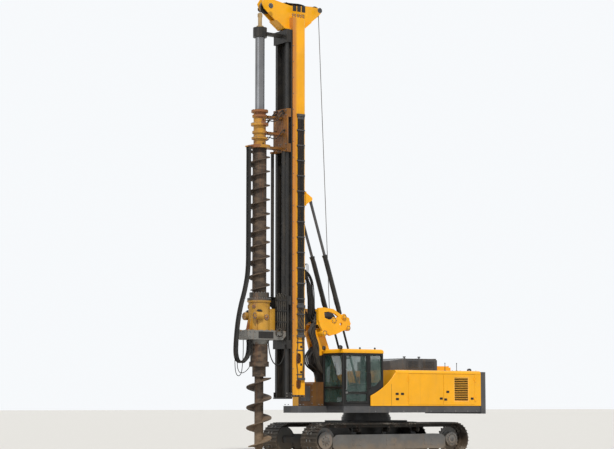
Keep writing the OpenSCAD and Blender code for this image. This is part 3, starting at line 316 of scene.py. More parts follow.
def math_node(tree, operation, first, second=0.0, clamp=False):
    """Joins two values by one operation; with clamp, the result stays between zero and one."""
    return node(tree, "Math", {0: first, 1: second}, operation=operation, use_clamp=clamp).outputs[0]


def ramp(tree, value, low, high, bottom=0.0, top=1.0):
    """Turns a value between low and high into one between bottom and top, eased at both ends."""
    limits = {"Value": value, "From Min": low, "From Max": high, "To Min": bottom, "To Max": top}
    return node(tree, "MapRange", limits, interpolation_type="SMOOTHSTEP").outputs["Result"]


def noise(tree, place, scale, detail=4.0, rough=0.55):
    """Cloudy noise between zero and one, its patches about one over the scale wide."""
    return node(tree, "TexNoise", {"Vector": place, "Scale": scale, "Detail": detail,
                                   "Roughness": rough}).outputs["Fac"]


def stretched(tree, place, scale):
    """The place with each axis multiplied by its own number."""
    return node(tree, "Mapping", {"Vector": place, "Scale": scale}).outputs["Vector"]


def mixed(tree, share, first, second):
    """A colour that goes from the first to the second as the share goes from zero to one."""
    return node(tree, "Mix", {0: share, 6: first, 7: second}, data_type="RGBA").outputs[2]


def make_weather_group():
    """Weather: soft dust where the face looks up, streaks that run down, and soil that fades with height."""
    tree, start, end = new_group(
        "Weather",
        [("Place", "Vector", None), ("Dust", "Float", 0.3), ("Streaks", "Float", 0.3),
         ("Soil height", "Float", 0.6), ("Soil", "Float", 0.0), ("Scale", "Float", 1.0)],
        [("Dust mask", "Float"), ("Streak mask", "Float"), ("Soil mask", "Float")])
    normal = node(tree, "NewGeometry").outputs["Normal"]
    facing = node(tree, "SeparateXYZ", {0: normal}).outputs["Z"]
    place = start["Place"]
    patchy = noise(tree, place, math_node(tree, "MULTIPLY", start["Scale"], 3.0), 6.0, 0.62)
    fine = noise(tree, place, math_node(tree, "MULTIPLY", start["Scale"], 38.0), 4.0, 0.6)
    upward = ramp(tree, facing, -0.1, 0.9, 0.35, 1.0)
    dust = math_node(tree, "MULTIPLY", ramp(tree, patchy, 0.35, 0.75), upward)
    dust = math_node(tree, "ADD", math_node(tree, "MULTIPLY", dust, 0.75),
                     math_node(tree, "MULTIPLY", ramp(tree, fine, 0.5, 0.75), 0.25))
    dust = math_node(tree, "MULTIPLY", dust, start["Dust"], True)
    runs = noise(tree, stretched(tree, place, (9.0, 9.0, 0.55)), start["Scale"], 5.0, 0.6)
    runs = math_node(tree, "MULTIPLY", ramp(tree, runs, 0.52, 0.72), start["Streaks"], True)
    height = node(tree, "SeparateXYZ", {0: place}).outputs["Z"]
    ragged = math_node(tree, "MULTIPLY", math_node(tree, "SUBTRACT", patchy, 0.5), 0.9)
    edge = math_node(tree, "ADD", height, ragged)
    lift = math_node(tree, "DIVIDE", edge, math_node(tree, "MAXIMUM", start["Soil height"], 0.01))
    soil = math_node(tree, "MULTIPLY", ramp(tree, lift, 0.35, 1.15, 1.0, 0.0), start["Soil"], True)
    tree.links.new(dust, end["Dust mask"])
    tree.links.new(runs, end["Streak mask"])
    tree.links.new(soil, end["Soil mask"])
    return tree


def make_chips_group():
    """Chips: small sharp-edged spots where paint has gone, denser where a slow noise is high."""
    tree, start, end = new_group(
        "Chips", [("Place", "Vector", None), ("Amount", "Float", 0.2), ("Scale", "Float", 1.0)],
        [("Chip mask", "Float"), ("Grain", "Float")])
    place = start["Place"]
    spots = noise(tree, place, math_node(tree, "MULTIPLY", start["Scale"], 55.0), 8.0, 0.7)
    zones = noise(tree, place, math_node(tree, "MULTIPLY", start["Scale"], 2.3), 3.0, 0.5)
    limit = math_node(tree, "SUBTRACT", 0.86, math_node(tree, "MULTIPLY", start["Amount"],
                                                        ramp(tree, zones, 0.3, 0.7, 0.15, 1.0)))
    over = math_node(tree, "SUBTRACT", spots, limit)
    chips = ramp(tree, over, 0.0, 0.02)
    grain = noise(tree, place, math_node(tree, "MULTIPLY", start["Scale"], 240.0), 3.0, 0.6)
    tree.links.new(chips, end["Chip mask"])
    tree.links.new(grain, end["Grain"])
    return tree


GROUPS = {}
SOIL = (0.34, 0.235, 0.14, 1.0)
DUST = (0.50, 0.40, 0.27, 1.0)
RUST = (0.21, 0.075, 0.022, 1.0)


def group_node(tree, name, maker, inputs):
    """Places a node group, which its maker builds on first use, with its own input values."""
    if name not in GROUPS:
        GROUPS[name] = maker()
    return node(tree, "Group", inputs, node_tree=GROUPS[name]).outputs


def rgb(colour):
    """A colour with its fourth number set to one."""
    return (*colour[:3], 1.0)


def to_surface(tree, shader):
    """Links a shader to the material's or the world's output."""
    kind = "OutputWorld" if shader.bl_idname == "ShaderNodeBackground" else "OutputMaterial"
    tree.links.new(shader.outputs[0], node(tree, kind).inputs["Surface"])


def painted(name, colour, rough=0.38, metal=0.0, coat=0.25, dust=0.3, streaks=0.3, streak_colour=RUST,
            soil=0.0, soil_height=0.6, chips=0.1, chip_colour=RUST, vary=0.12, grain=0.15, extra=None):
    """A weathered coat over metal: its colour drifts a little, then streaks, chips, dust and soil lie on it."""
    material = bpy.data.materials.new(name)
    tree = new_tree(material)
    place = node(tree, "TexCoord").outputs["Object"]
    weather = group_node(tree, "Weather", make_weather_group, {
        "Place": place, "Dust": dust, "Streaks": streaks, "Soil": soil, "Soil height": soil_height})
    worn = group_node(tree, "Chips", make_chips_group, {"Place": place, "Amount": chips})
    drift = ramp(tree, noise(tree, place, 1.7, 5.0), 0.3, 0.7)
    dark = tuple(c * (1 - vary) for c in colour[:3])
    light = tuple(min(1.0, c * (1 + vary)) for c in colour[:3])
    shade = mixed(tree, drift, rgb(dark), rgb(light))
    if extra:
        shade = extra(tree, place, shade)
    shade = mixed(tree, math_node(tree, "MULTIPLY", weather["Streak mask"], 0.8), shade, streak_colour)
    shade = mixed(tree, worn["Chip mask"], shade, rgb(chip_colour))
    shade = mixed(tree, weather["Dust mask"], shade, DUST)
    shade = mixed(tree, weather["Soil mask"], shade, SOIL)
    cover = math_node(tree, "MAXIMUM", weather["Dust mask"], weather["Soil mask"])
    roughness = math_node(tree, "ADD", rough, math_node(tree, "MULTIPLY", cover, 0.85 - rough))
    roughness = math_node(tree, "ADD", roughness, math_node(tree, "MULTIPLY", worn["Chip mask"], 0.2), True)
    relief = math_node(tree, "ADD", math_node(tree, "MULTIPLY", worn["Grain"], grain),
                       math_node(tree, "MULTIPLY", worn["Chip mask"], -0.6))
    relief = math_node(tree, "ADD", relief, math_node(tree, "MULTIPLY", weather["Soil mask"], 1.2))
    bump = node(tree, "Bump", {"Height": relief, "Strength": 0.35, "Distance": 0.004}).outputs["Normal"]
    shader = node(tree, "BsdfPrincipled", {
        "Base Color": shade, "Roughness": roughness, "Metallic": metal, "Normal": bump,
        "Coat Weight": coat, "Coat Roughness": 0.25, "Specular IOR Level": 0.3})
    to_surface(tree, shader)
    return material


def clear_glass(name, colour):
    """Safety glass: see-through with a tint, and a coat of dust that gathers in patches."""
    material = bpy.data.materials.new(name)
    tree = new_tree(material)
    place = node(tree, "TexCoord").outputs["Object"]
    patchy = noise(tree, place, 2.4, 5.0, 0.6)
    cover = ramp(tree, patchy, 0.35, 0.8, 0.30, 0.52)
    shade = mixed(tree, ramp(tree, patchy, 0.4, 0.8), rgb(colour), rgb([c * 1.6 + 0.02 for c in colour]))
    shader = node(tree, "BsdfPrincipled", {
        "Base Color": shade, "Roughness": 0.06, "Alpha": cover, "Coat Weight": 0.6, "Coat Roughness": 0.03})
    to_surface(tree, shader)
    return material


def amber_front(tree, place, shade):
    """The mast's front edge is baked to a dark amber, most where X nears the guide rails."""
    split = node(tree, "SeparateXYZ", {0: place}).outputs
    wave = math_node(tree, "MULTIPLY", noise(tree, place, 6.0, 5.0), 0.06)
    reach = math_node(tree, "ADD", split["X"], wave)
    front = ramp(tree, reach, at(2890, 0, 0)[0], at(3010, 0, 0)[0])
    low = ramp(tree, split["Z"], 2.0, 4.6, 0.35, 1.0)
    return mixed(tree, math_node(tree, "MULTIPLY", front, low), shade, (0.50, 0.19, 0.030, 1.0))


def grey_base(tree, place, shade):
    """The drive's base is grey, with a worn border to the yellow above it, and its top flange is dark."""
    height = node(tree, "SeparateXYZ", {0: place}).outputs["Z"]
    edge = math_node(tree, "ADD", height, math_node(tree, "MULTIPLY", noise(tree, place, 7.0, 6.0), 0.16))
    low = ramp(tree, edge, 3.90, 3.95, 1.0, 0.0)
    shade = mixed(tree, low, shade, (0.16, 0.155, 0.145, 1.0))
    crown = ramp(tree, height, 4.72, 4.76)
    return mixed(tree, crown, shade, (0.035, 0.032, 0.028, 1.0))


def clay_bands(tree, place, shade):
    """Clay clings to the string in patches that are long around and short along it."""
    bands = noise(tree, stretched(tree, place, (2.2, 2.2, 5.0)), 1.6, 7.0, 0.65)
    dry = mixed(tree, ramp(tree, bands, 0.42, 0.62), shade, (0.115, 0.080, 0.054, 1.0))
    return mixed(tree, ramp(tree, bands, 0.60, 0.74), dry, (0.040, 0.030, 0.024, 1.0))


# Each finish as its colour and what makes it differ from plain paint
PAINTS = {
    "yellow_paint": dict(colour=(0.80, 0.365, 0.004), rough=0.34, coat=0.15, dust=0.12, streaks=0.16,
                         chips=0.10, streak_colour=(0.42, 0.20, 0.03, 1.0), chip_colour=(0.30, 0.13, 0.03),
                         vary=0.05),
    "mast_yellow": dict(colour=(0.80, 0.36, 0.006), rough=0.40, coat=0.12, dust=0.15, streaks=0.45, chips=0.22,
                        streak_colour=(0.30, 0.12, 0.025, 1.0), vary=0.08, extra=amber_front),
    "grey_paint": dict(colour=(0.055, 0.056, 0.060), rough=0.45, coat=0.05, dust=0.15, streaks=0.25,
                       streak_colour=(0.16, 0.12, 0.08, 1.0), chips=0.12, vary=0.15),
    "frame_grey": dict(colour=(0.095, 0.096, 0.097), rough=0.55, coat=0.0, dust=0.20, streaks=0.35,
                       streak_colour=(0.14, 0.085, 0.045, 1.0), soil=0.35,
                       soil_height=0.55, chips=0.25, vary=0.18),
    "black_paint": dict(colour=(0.010, 0.0095, 0.0095), rough=0.42, coat=0.1, dust=0.10, streaks=0.30,
                        streak_colour=(0.10, 0.072, 0.045, 1.0), chips=0.18, vary=0.3),
    "track_steel": dict(colour=(0.022, 0.020, 0.018), rough=0.56, metal=0.3, coat=0.0, dust=0.08, streaks=0.2,
                        soil=0.20, soil_height=0.75, chips=0.35, chip_colour=(0.34, 0.31, 0.27), vary=0.3,
                        grain=0.5),
    "cast_grey": dict(colour=(0.13, 0.13, 0.128), rough=0.6, coat=0.0, dust=0.25, streaks=0.3, soil=0.35,
                      soil_height=0.7, chips=0.2, vary=0.15, grain=0.5),
    "bright_steel": dict(colour=(0.38, 0.38, 0.375), rough=0.30, metal=0.9, coat=0.0, dust=0.12, streaks=0.35,
                         streak_colour=(0.16, 0.10, 0.06, 1.0), chips=0.05, vary=0.1),
    "auger_steel": dict(colour=(0.045, 0.033, 0.026), rough=0.72, metal=0.15, coat=0.0, dust=0.05, streaks=0.3,
                        soil=0.35, soil_height=1.4, chips=0.25, chip_colour=(0.26, 0.22, 0.18), vary=0.35,
                        grain=0.9, extra=clay_bands),
    "drive_yellow": dict(colour=(0.42, 0.20, 0.018), rough=0.5, coat=0.15, dust=0.22, streaks=0.75,
                         streak_colour=(0.13, 0.055, 0.02, 1.0), chips=0.6, vary=0.15),
    "drive_body": dict(colour=(0.42, 0.215, 0.022), rough=0.5, coat=0.15, dust=0.22, streaks=0.75,
                       streak_colour=(0.14, 0.07, 0.03, 1.0), chips=0.35, vary=0.18, extra=grey_base),
    "nose_brown": dict(colour=(0.105, 0.043, 0.007), rough=0.55, coat=0.1, dust=0.10, streaks=0.8,
                       streak_colour=(0.07, 0.04, 0.02, 1.0), chips=0.35, vary=0.25),
    "sledge_rust": dict(colour=(0.19, 0.075, 0.010), rough=0.5, coat=0.1, dust=0.06, streaks=0.9,
                        streak_colour=(0.022, 0.016, 0.012, 1.0), chips=0.5, vary=0.4),
    "rope_tan": dict(colour=(0.36, 0.245, 0.11), rough=0.55, coat=0.1, dust=0.45, streaks=0.5, chips=0.3,
                     vary=0.2),
    "hose_rubber": dict(colour=(0.007, 0.007, 0.007), rough=0.55, coat=0.0, dust=0.07, streaks=0.1, chips=0.0,
                        vary=0.3, grain=0.05),
    "hose_dusty": dict(colour=(0.030, 0.028, 0.026), rough=0.6, coat=0.0, dust=0.35, streaks=0.1, chips=0.0,
                       vary=0.4, grain=0.2),
    "tube_steel": dict(colour=(0.20, 0.20, 0.205), rough=0.26, metal=0.9, coat=0.0, dust=0.12, streaks=0.3,
                       streak_colour=(0.07, 0.055, 0.045, 1.0), chips=0.05, vary=0.15),
    "mast_edge": dict(colour=(0.70, 0.42, 0.10), rough=0.45, coat=0.1, dust=0.35, streaks=0.3, chips=0.1,
                      vary=0.1),
    "cab_black": dict(colour=(0.006, 0.006, 0.0065), rough=0.36, coat=0.12, dust=0.05, streaks=0.06,
                      chips=0.05, streak_colour=(0.10, 0.08, 0.055, 1.0), vary=0.25),
    "grille_brown": dict(colour=(0.92, 0.48, 0.075), rough=0.55, coat=0.1, dust=0.2, streaks=0.3, chips=0.15,
                         vary=0.12),
    "chair_cloth": dict(colour=(0.022, 0.023, 0.026), rough=0.9, coat=0.0, dust=0.2, streaks=0.0, chips=0.0,
                        vary=0.2, grain=0.8),
    "console_plastic": dict(colour=(0.032, 0.033, 0.035), rough=0.6, coat=0.0, dust=0.25, streaks=0.0,
                            chips=0.0, vary=0.1, grain=0.5),
    "zinc": dict(colour=(0.20, 0.20, 0.198), rough=0.5, metal=0.8, coat=0.0, dust=0.25, streaks=0.3, chips=0.1,
                 vary=0.15),
    "rope_wire": dict(colour=(0.14, 0.135, 0.13), rough=0.45, metal=0.75, coat=0.0, dust=0.2, streaks=0.0,
                      chips=0.0, vary=0.25, grain=0.6),
    "seal_rubber": dict(colour=(0.008, 0.008, 0.008), rough=0.7, coat=0.0, dust=0.08, streaks=0.0, chips=0.0,
                        vary=0.2),
}
PAINTED = {}
# Finishes that a node takes instead of its own slot's
SPECIAL = {
    "mast_box": "mast_yellow",
    "rotary_head": "drive_body",
    "nose_box": "nose_brown",
    "upper_sledge": "sledge_rust",
    "steel_tube": "tube_steel",
}
GLASS_TINT = (0.035, 0.075, 0.062)


def finish(name):
    """The finish of this name, made on first use; the panel's colour goes before the table's."""
    if name not in PAINTED:
        if name == "cab_glass":
            PAINTED[name] = clear_glass(name, GLASS_TINT)
        else:
            chosen = getattr(bpy.context.scene.rig_colours, name, PAINTS[name]["colour"])
            PAINTED[name] = painted(name, **{**PAINTS[name], "colour": tuple(chosen)})
    return PAINTED[name]


class RIG_OT_finishes(bpy.types.Operator):
    """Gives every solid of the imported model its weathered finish"""
    bl_idname = "rig.finishes"
    bl_label = "Finishes of the solids"

    def execute(self, context):
        slots = {part["node"]: part["material_slot"] for part in frame["record"]["subparts"]}
        for name, obj in frame["nodes"].items():
            obj.data.materials.clear()
            obj.data.materials.append(finish(SPECIAL.get(name, slots[name])))
        return {"FINISHED"}


# Hoses, their fittings and clips, and the hoist rope

# Places of the five hoses along the mast, and the run of the head hoses as X and Z, in millimetres
MAST_HOSE_X = [2665, 2715, 2765, 2815, 2865]
HEAD_ROUTE = [(4430, 9440), (4430, 9000), (4430, 8200), (4430, 7300), (4430, 6500), (4435, 5900), (4470, 5480),
              (4560, 5050), (4680, 4640), (4770, 4250), (4830, 3850), (4865, 3450), (4868, 3150), (4820, 2960),
              (4720, 2880), (4600, 2900), (4480, 3020), (4420, 3180), (4400, 3380), (4400, 3558)]
# The boom's foot pin and its direction in X and Z, and the hoses' run as the way along it and in front of it
BOOM_FOOT = np.array([1400.0, 1950.0])
BOOM_RUN = unit([590.0, 1850.0])
BOOM_FRONT = np.array([BOOM_RUN[1], -BOOM_RUN[0]])
BOOM_ROUTE = [(300, 238.6), (520, 232.3), (720, 262), (880, 330), (1000, 430), (1130, 490), (1270, 470),
              (1390, 390), (1480, 290), (1530, 210), (1540, 160), (1540, 98)]
# Sheaves and drum as X, Z and the rope's radius round them, and the swivel's eye, in millimetres
FRONT_SHEAVE = (3860, 13850, 178)
REAR_SHEAVE = (2000, 13950, 158)
DRUM = (1620, 4200, 212)
ROPE_EYE = (STRING_X, 0, 13668)


def size_of(key):
    """A size from the panel in metres; its property has single precision, so it is rounded to a micrometre."""
    return round(getattr(bpy.context.scene.rig_sizes, key), 6)


def add_fitting(shape, place, axis, radius, nut=True):
    """A crimped sleeve over a hose's end, with a ringed profile, and a hexagon nut beyond it."""
    sleeve = [[0.9, -3.4], [1.28, -3.2], [1.34, -2.2], [1.22, -2.0], [1.34, -1.8], [1.34, -1.0], [1.22, -0.8],
              [1.3, -0.6], [1.1, 0.0]]
    shape.put(turned(radius * np.array(sleeve), axis, 16), place)
    if nut:
        hexagon = [[1.2, -0.1], [1.5, 0.05], [1.5, 1.1], [1.2, 1.25]]
        shape.put(turned(radius * np.array(hexagon), axis, 6), place)


def wavy_run(bottom, top, sway, phase, count):
    """A hose between two places that leaves its straight line by a slow sine, held still at both ends."""
    share = np.linspace(0, 1, count)[:, None]
    straight_line = bottom + share * (top - bottom)
    ease = np.sin(math.pi * share) ** 0.3
    ahead = sway * ease * np.sin(share * 31 + phase)
    across = 0.35 * sway * ease * np.cos(share * 23 + 2 * phase)
    return straight_line + ahead * AHEAD + across * ACROSS


def on_boom(along, ahead, y):
    """A place given along the boom and in front of its middle line."""
    x, z = BOOM_FOOT + along * BOOM_RUN + ahead * BOOM_FRONT
    return at(x, y, z)


def clamp_bar(shape, low, high, bolts, size):
    """A bar across hoses on the mast's side, given by its lowest and highest corner, with bolts along it."""
    shape.block(low, high)
    middle = (low[2] + high[2]) / 2
    add_bolts(shape, [at(x, high[1], middle) for x in bolts], ACROSS, size)


def free_hose(name, body, points, radius, look="hose_rubber", last=()):
    """One hose that hangs free through points in millimetres, and last ones in metres, with its real length."""
    run = smooth_path([*[at(*p) for p in points], *last])
    shape = Shape()
    shape.add(*tube(run, radius, 10))
    made = shape.piece(name, body, look, 50)
    return made, run


class RIG_OT_mast_hoses(bpy.types.Operator):
    """Five hoses clipped along the mast's near side, and on down past the yoke to its foot"""
    bl_idname = "rig.mast_hoses"
    bl_label = "Hoses on the mast"

    def execute(self, context):
        hoses, clips, lower = Shape(), Shape(), Shape()
        face = MAST_SIDE + 0.5
        for i, x in enumerate(MAST_HOSE_X):
            run = wavy_run(at(x, 358, 4640), at(x, 358, 10460), 0.0025, 1.7 * i, 60)
            hoses.add(*tube(run, size_of("mast_hose"), 12))
            add_fitting(clips, run[0], -UP, 0.018)
            add_fitting(clips, run[-1], UP, 0.018)
            run = wavy_run(at(x, 356, 4555), at(x - 6, 356, 3740), 0.004, 2.3 * i, 16)
            lower.add(*tube(run, 0.0185, 10))
            add_fitting(clips, run[-1], -UP, 0.017)
        # Each clip is a bar under the hoses, one over them, and two cheeks between
        for z in range(3860, 10460, 475):
            clips.block((2627, face, z), (2903, 335.5, z + 46))
            clamp_bar(clips, (2627, 379.5, z + 4), (2903, 384.5, z + 42), range(2640, 2891, 50), 0.016)
            for x in (2628, 2878):
                clips.block((x, 335, z + 4), (x + 24, 380, z + 42))
        for z in (3650, 4560, 10490):
            clamp_bar(clips, (2625, face, z), (2905, 388, z + 78), (2650, 2880), 0.024)
        # Three thinner lines go on down, bowed round the oval hole by out
        for x, out in ((2650, -8), (2690, -8), (2874, 14)):
            run = course([(x, 350, 3650), (x, 354, 3420), (x + 2 * out, 358, 3200), (x + 3 * out, 360, 3000),
                          (x + 2 * out, 356, 2780), (x, 350, 2580), (x, 346, 2440)])
            lower.add(*tube(run, 0.0145, 10))
            add_fitting(clips, run[-1], -UP, 0.013)
        for z in (2500, 3240, 3480):
            clamp_bar(clips, (2622, face, z), (2908, 338, z + 40), (2632, 2898), 0.014)
        clamp_bar(clips, (2625, face, 2350), (2900, 392, 2424), (2650, 2876), 0.022)
        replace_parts(hoses.piece("mast_hose_run", "mast", "hose_rubber", 50), "mast_hoses")
        lower.piece("mast_foot_lines", "mast", "hose_dusty", 50)
        clips.piece("mast_hose_clips", "mast", "grey_paint")
        return {"FINISHED"}


class RIG_OT_head_hoses(bpy.types.Operator):
    """Hoses from the swivel down past the drive and back up under its base, tied in a bundle"""
    bl_idname = "rig.head_hoses"
    bl_label = "Hoses at the rotary head"

    def execute(self, context):
        hoses, ties = Shape(), Shape()
        for y in (-90, -30, 30, 90):
            path = course([(x - 3 + abs(y) / 3, y, z) for x, z in HEAD_ROUTE], 5)
            hoses.add(*tube(path, size_of("head_hose"), 12))
            add_fitting(ties, path[0], UP, 0.024, nut=False)
            add_fitting(ties, path[-1], UP, 0.024, nut=False)
        # A tie is an ellipse square to the bundle's middle line, with one step past its start
        middle = course([(x + 16, 0, z) for x, z in HEAD_ROUTE], 5)
        depth_way = path_frames(middle)[0]
        turn = np.linspace(0, 2 * math.pi, 28, endpoint=False)[:, None]
        for index in range(8, len(middle) - 8, 6):
            loop = middle[index] + 0.034 * np.cos(turn) * depth_way[index] + 0.124 * np.sin(turn) * ACROSS
            ties.add(*tube(closed_loop(loop), 0.0055, 6, aside=unit(middle[index + 1] - middle[index])))
        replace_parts(hoses.piece("head_hose_run", "crowd", "hose_rubber", 50), "head_hoses")
        ties.piece("head_hose_ties", "crowd", "black_paint", 40)
        free_hose("grease_line_near", "crowd", [
            (4886, 60, 3160), (4888, 66, 2900), (4870, 74, 2680), (4790, 90, 2560), (4660, 150, 2590),
            (4540, 220, 2760), (4480, 250, 3060), (4470, 250, 3558)], 0.011)
        free_hose("grease_line_far", "crowd", [
            (4886, -60, 3160), (4880, -70, 2820), (4830, -90, 2560), (4720, -120, 2470), (4590, -170, 2560),
            (4510, -230, 2800), (4470, -250, 3160), (4470, -250, 3558)], 0.011)
        free_hose("base_line", "crowd", [
            (3900, 262, 3558), (3884, 266, 3330), (3830, 274, 3080), (3730, 284, 2880), (3600, 294, 2800),
            (3470, 302, 2860), (3380, 306, 3020), (3335, 308, 3190), (3318, 308, 3420)], 0.017)
        return {"FINISHED"}


class RIG_OT_sledge_hoses(bpy.types.Operator):
    """The curtain of upright hoses on the sledge's side, curled over at the top, and a coil at its foot"""
    bl_idname = "rig.sledge_hoses"
    bl_label = "Hoses on the sledge"

    def execute(self, context):
        lines, racks = Shape(), Shape()
        for i in range(15):
            x, y = 3322 + 24 * i, 352 + 24 * (i % 3)
            top = 4866 + 34 * ((i * 5) % 4)
            lean = 9 * math.sin(2.4 * i)
            run = course([(x + 10, 338, 4560), (x + 12, 336, top - 90), (x + 2, (y + 336) / 2, top),
                          (x - 8 + lean, y, top - 70), (x + lean, y, 4500), (x - lean, y, 4200),
                          (x + 8 * (i % 2), y - 4, 3990), (x, 346, 3868)])
            lines.add(*tube(run, (0.011, 0.0135, 0.012)[i % 3], 8))
            add_fitting(racks, run[-1], -UP, 0.0125, nut=False)
        # The coil: nearly a full circle that moves out by 5 mm for each radian
        for x, y, z, radius in ((3560, 350, 3770, 122), (3566, 374, 3780, 108)):
            turn = np.linspace(-0.6, 2 * math.pi - 0.9, 40)[:, None]
            ring = radius * (np.cos(turn) * AHEAD + np.sin(turn) * UP) + 5 * turn * ACROSS
            lines.add(*tube(at(x, y, z) + ring / 1000, 0.0135, 10))
        for z in (4080, 4420, 4740):
            for y in (HEAD_SIDE + 1, 416):
                racks.block((3306, y, z), (3676, y + 5, z + 44))
            for x in (3306, 3490, 3668):
                racks.block((x, 335, z + 6), (x + 8, 417, z + 38))
            add_bolts(racks, [at(x, 421, z + 22) for x in (3320, 3494, 3662)], ACROSS, 0.02)
        lines.piece("sledge_hose_curtain", "crowd", "hose_dusty", 50)
        racks.piece("sledge_hose_racks", "crowd", "black_paint", 35)
        return {"FINISHED"}


class RIG_OT_loom(bpy.types.Operator):
    """The loom of hoses from the mast's back over a bracket on the yoke to the boom, in two lengths"""
    bl_idname = "rig.loom"
    bl_label = "Loom behind the mast"

    def execute(self, context):
        yoke_end, boom_end, mast_end = Shape(), Shape(), Shape()
        radius = size_of("loom_hose")
        for i in range(12):
            # Three layers across, each of four hoses that lie one behind the other. For each hose, back is
            # its place behind the foremost, low its height at the bracket, and reach its way out from there.
            layer, c = divmod(i, 4)
            back, y, sway = 3 - c, 226 + 50 * layer, 16 * math.sin(1.9 * i + 0.4)
            top, low, x = 5720 - 70 * ((3 * i) % 4), 4430 - 110 * c, 2236 + 56 * c
            reach = x - 2196
            made, run = free_hose(f"loom_mast_{i + 1}", None, [
                (2598, y, top), (2548, y, top - 22), (2496 - 24 * back, y, top - 110),
                (2450 - 48 * back, y + sway / 3, top - 320), (2430 - 60 * back + sway, y, top - 620),
                (x, y, 4800), (x - 2, y, low + 270), (x - 0.12 * reach, y, low + 160),
                (x - 0.46 * reach, y, low + 62), (2196, y, low)], radius)
            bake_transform(made)
            add_fitting(mast_end, run[0], AHEAD, 0.016, nut=False)
            add_fitting(yoke_end, run[-1], run[-1] - run[-2], 0.015, nut=False)
            y, low, side, along = y + 24, 4380 - 100 * c, 160 + 36 * layer, 870 - 56 * c
            made, run = free_hose(f"loom_boom_{i + 1}", None, [
                (2194, y, low), (2194 + 0.5 * (x - 2190), y, low - 70), (x - 14, y, low - 190),
                (x - 6, y, min(3900, low - 290)), (x - 40, y - 4, 3700), (2110 + 50 * c, y - 12, 3500),
                (2060 + 46 * c + sway, y - 24, 3310), (2046 + 44 * c - sway, (y + side) / 2, 3130)],
                radius, "hose_dusty",
                [on_boom(along + 250, 262 + 26 * c, side), on_boom(along + 120, 246 + 14 * c, side),
                 on_boom(along + 40, 230 + 2 * c, side), on_boom(along, 222, side)])
            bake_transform(made)
            add_fitting(yoke_end, run[0], AHEAD, 0.015, nut=False)
            add_fitting(boom_end, run[-1], run[-1] - run[-2], 0.016, nut=False)
        for i, y in enumerate((236, 290, 338)):
            free_hose(f"loom_loop_{i + 1}", "mast", [
                (2598, y, 5790), (2594, y, 5850), (2572, y, 5904), (2530, y, 5926), (2488, y, 5904),
                (2467, y, 5850), (2464, y, 5740), (2486, y - 4, 5600), (2524, y - 8, 5450), (2566, y - 8, 5340),
                (2598, y - 8, 5270)], 0.0065)
        mast_end.block((2586, 205, 5480), (2599.5, 354, 5750))
        yoke_end.block((2190.5, 205, 4070), (2199, 380, 4460))
        yoke_end.piece("loom_yoke_ports", "yoke", "black_paint", 35)
        boom_end.piece("loom_boom_ports", "boom", "black_paint", 35)
        mast_end.piece("loom_ports", "mast", "black_paint", 35)
        return {"FINISHED"}


class RIG_OT_boom_hoses(bpy.types.Operator):
    """Hoses up the boom's front web that hang out in a loop before the cross tube"""
    bl_idname = "rig.boom_hoses"
    bl_label = "Hoses on the boom"

    def execute(self, context):
        hoses, clips = Shape(), Shape()
        for i, y in enumerate((-135, -75, 75, 135, -105, -40, 0, 40, 105)):
            # The loop's depth differs from hose to hose, where it stands out from the web
            spread = (abs(y) - 75) / 2 if i < 4 else -22 * (i - 3)
            path = smooth_path([on_boom(s, n + (spread if n > 300 else 0), y) for s, n in BOOM_ROUTE])
            hoses.add(*tube(path, size_of("boom_hose"), 12))
            add_fitting(clips, path[0], path[0] - path[1], 0.022, nut=False)
            add_fitting(clips, path[-1], path[-1] - path[-2], 0.022, nut=False)
        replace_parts(hoses.piece("boom_hose_run", "boom", "hose_rubber", 50), "boom_hoses")
        clips.piece("boom_hose_sleeves", "boom", "black_paint", 40)
        return {"FINISHED"}


def arc(centre, start, end, count):
    """Points of a circle in the middle plane: cosine along X and sine along Z, at the rope's radius."""
    x, z, radius = centre
    turn = np.radians(np.linspace(start, end, count))[:, None]
    return at(x, 0, z) + radius / 1000 * (np.cos(turn) * AHEAD + np.sin(turn) * UP)


def rope_piece(name, body, paths, sides=10):
    """One piece of rope along one path or several."""
    shape = Shape()
    for path in paths:
        shape.add(*tube(path, size_of("rope"), sides))
    return shape.piece(name, body, "rope_wire", 50)


class RIG_OT_hoist_rope(bpy.types.Operator):
    """The hoist rope: off the drum, over both sheaves of the mast head, and down to the swivel"""
    bl_idname = "rig.hoist_rope"
    bl_label = "Hoist rope"

    def execute(self, context):
        # The free length leans by this angle, and leaves drum and sheave where their radius is square to it
        lean = math.degrees(math.atan2(REAR_SHEAVE[0] - REAR_SHEAVE[2] - DRUM[0] + DRUM[2],
                                       REAR_SHEAVE[1] - DRUM[1]))
        over = arc(REAR_SHEAVE, 180 - lean, 93, 14)
        ahead = arc(FRONT_SHEAVE, 93, 6, 14)
        rope_piece("rope_over_head", "mast", [np.vstack([over, ahead])])
        drum_side = arc(DRUM, 180 - lean, 180 - lean, 1)[0]
        made = rope_piece("rope_to_drum", None, [np.linspace(drum_side, over[0], 40)])
        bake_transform(made)
        eye = at(*ROPE_EYE)
        made = rope_piece("rope_to_swivel", None, [np.linspace(ahead[-1], eye, 12)])
        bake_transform(made)
        # Turns on the drum: rings side by side, a little more than a rope's width apart
        ring = np.vstack([arc(DRUM, 0, 360, 41)[:-1], arc(DRUM, 0, 9, 2)])
        rope_piece("rope_on_drum", "yoke", [ring + y * ACROSS for y in np.arange(-0.216, 0.217, 0.0226)], 6)
        return {"FINISHED"}


# House: latches, seams, fastenings, louvres and poles

# Latches as X and Z, and the door that carries each; the rest are on the fairing, which only the cab's side has
DOOR_LATCHES = [("rear", -2080, 1770), ("rear", -2170, 2010), ("rear", -3180, 1800), ("mid", -1900, 1800)]
FAIRING_LATCHES = [(-130, 1940), (-340, 1940), (-140, 1780)]


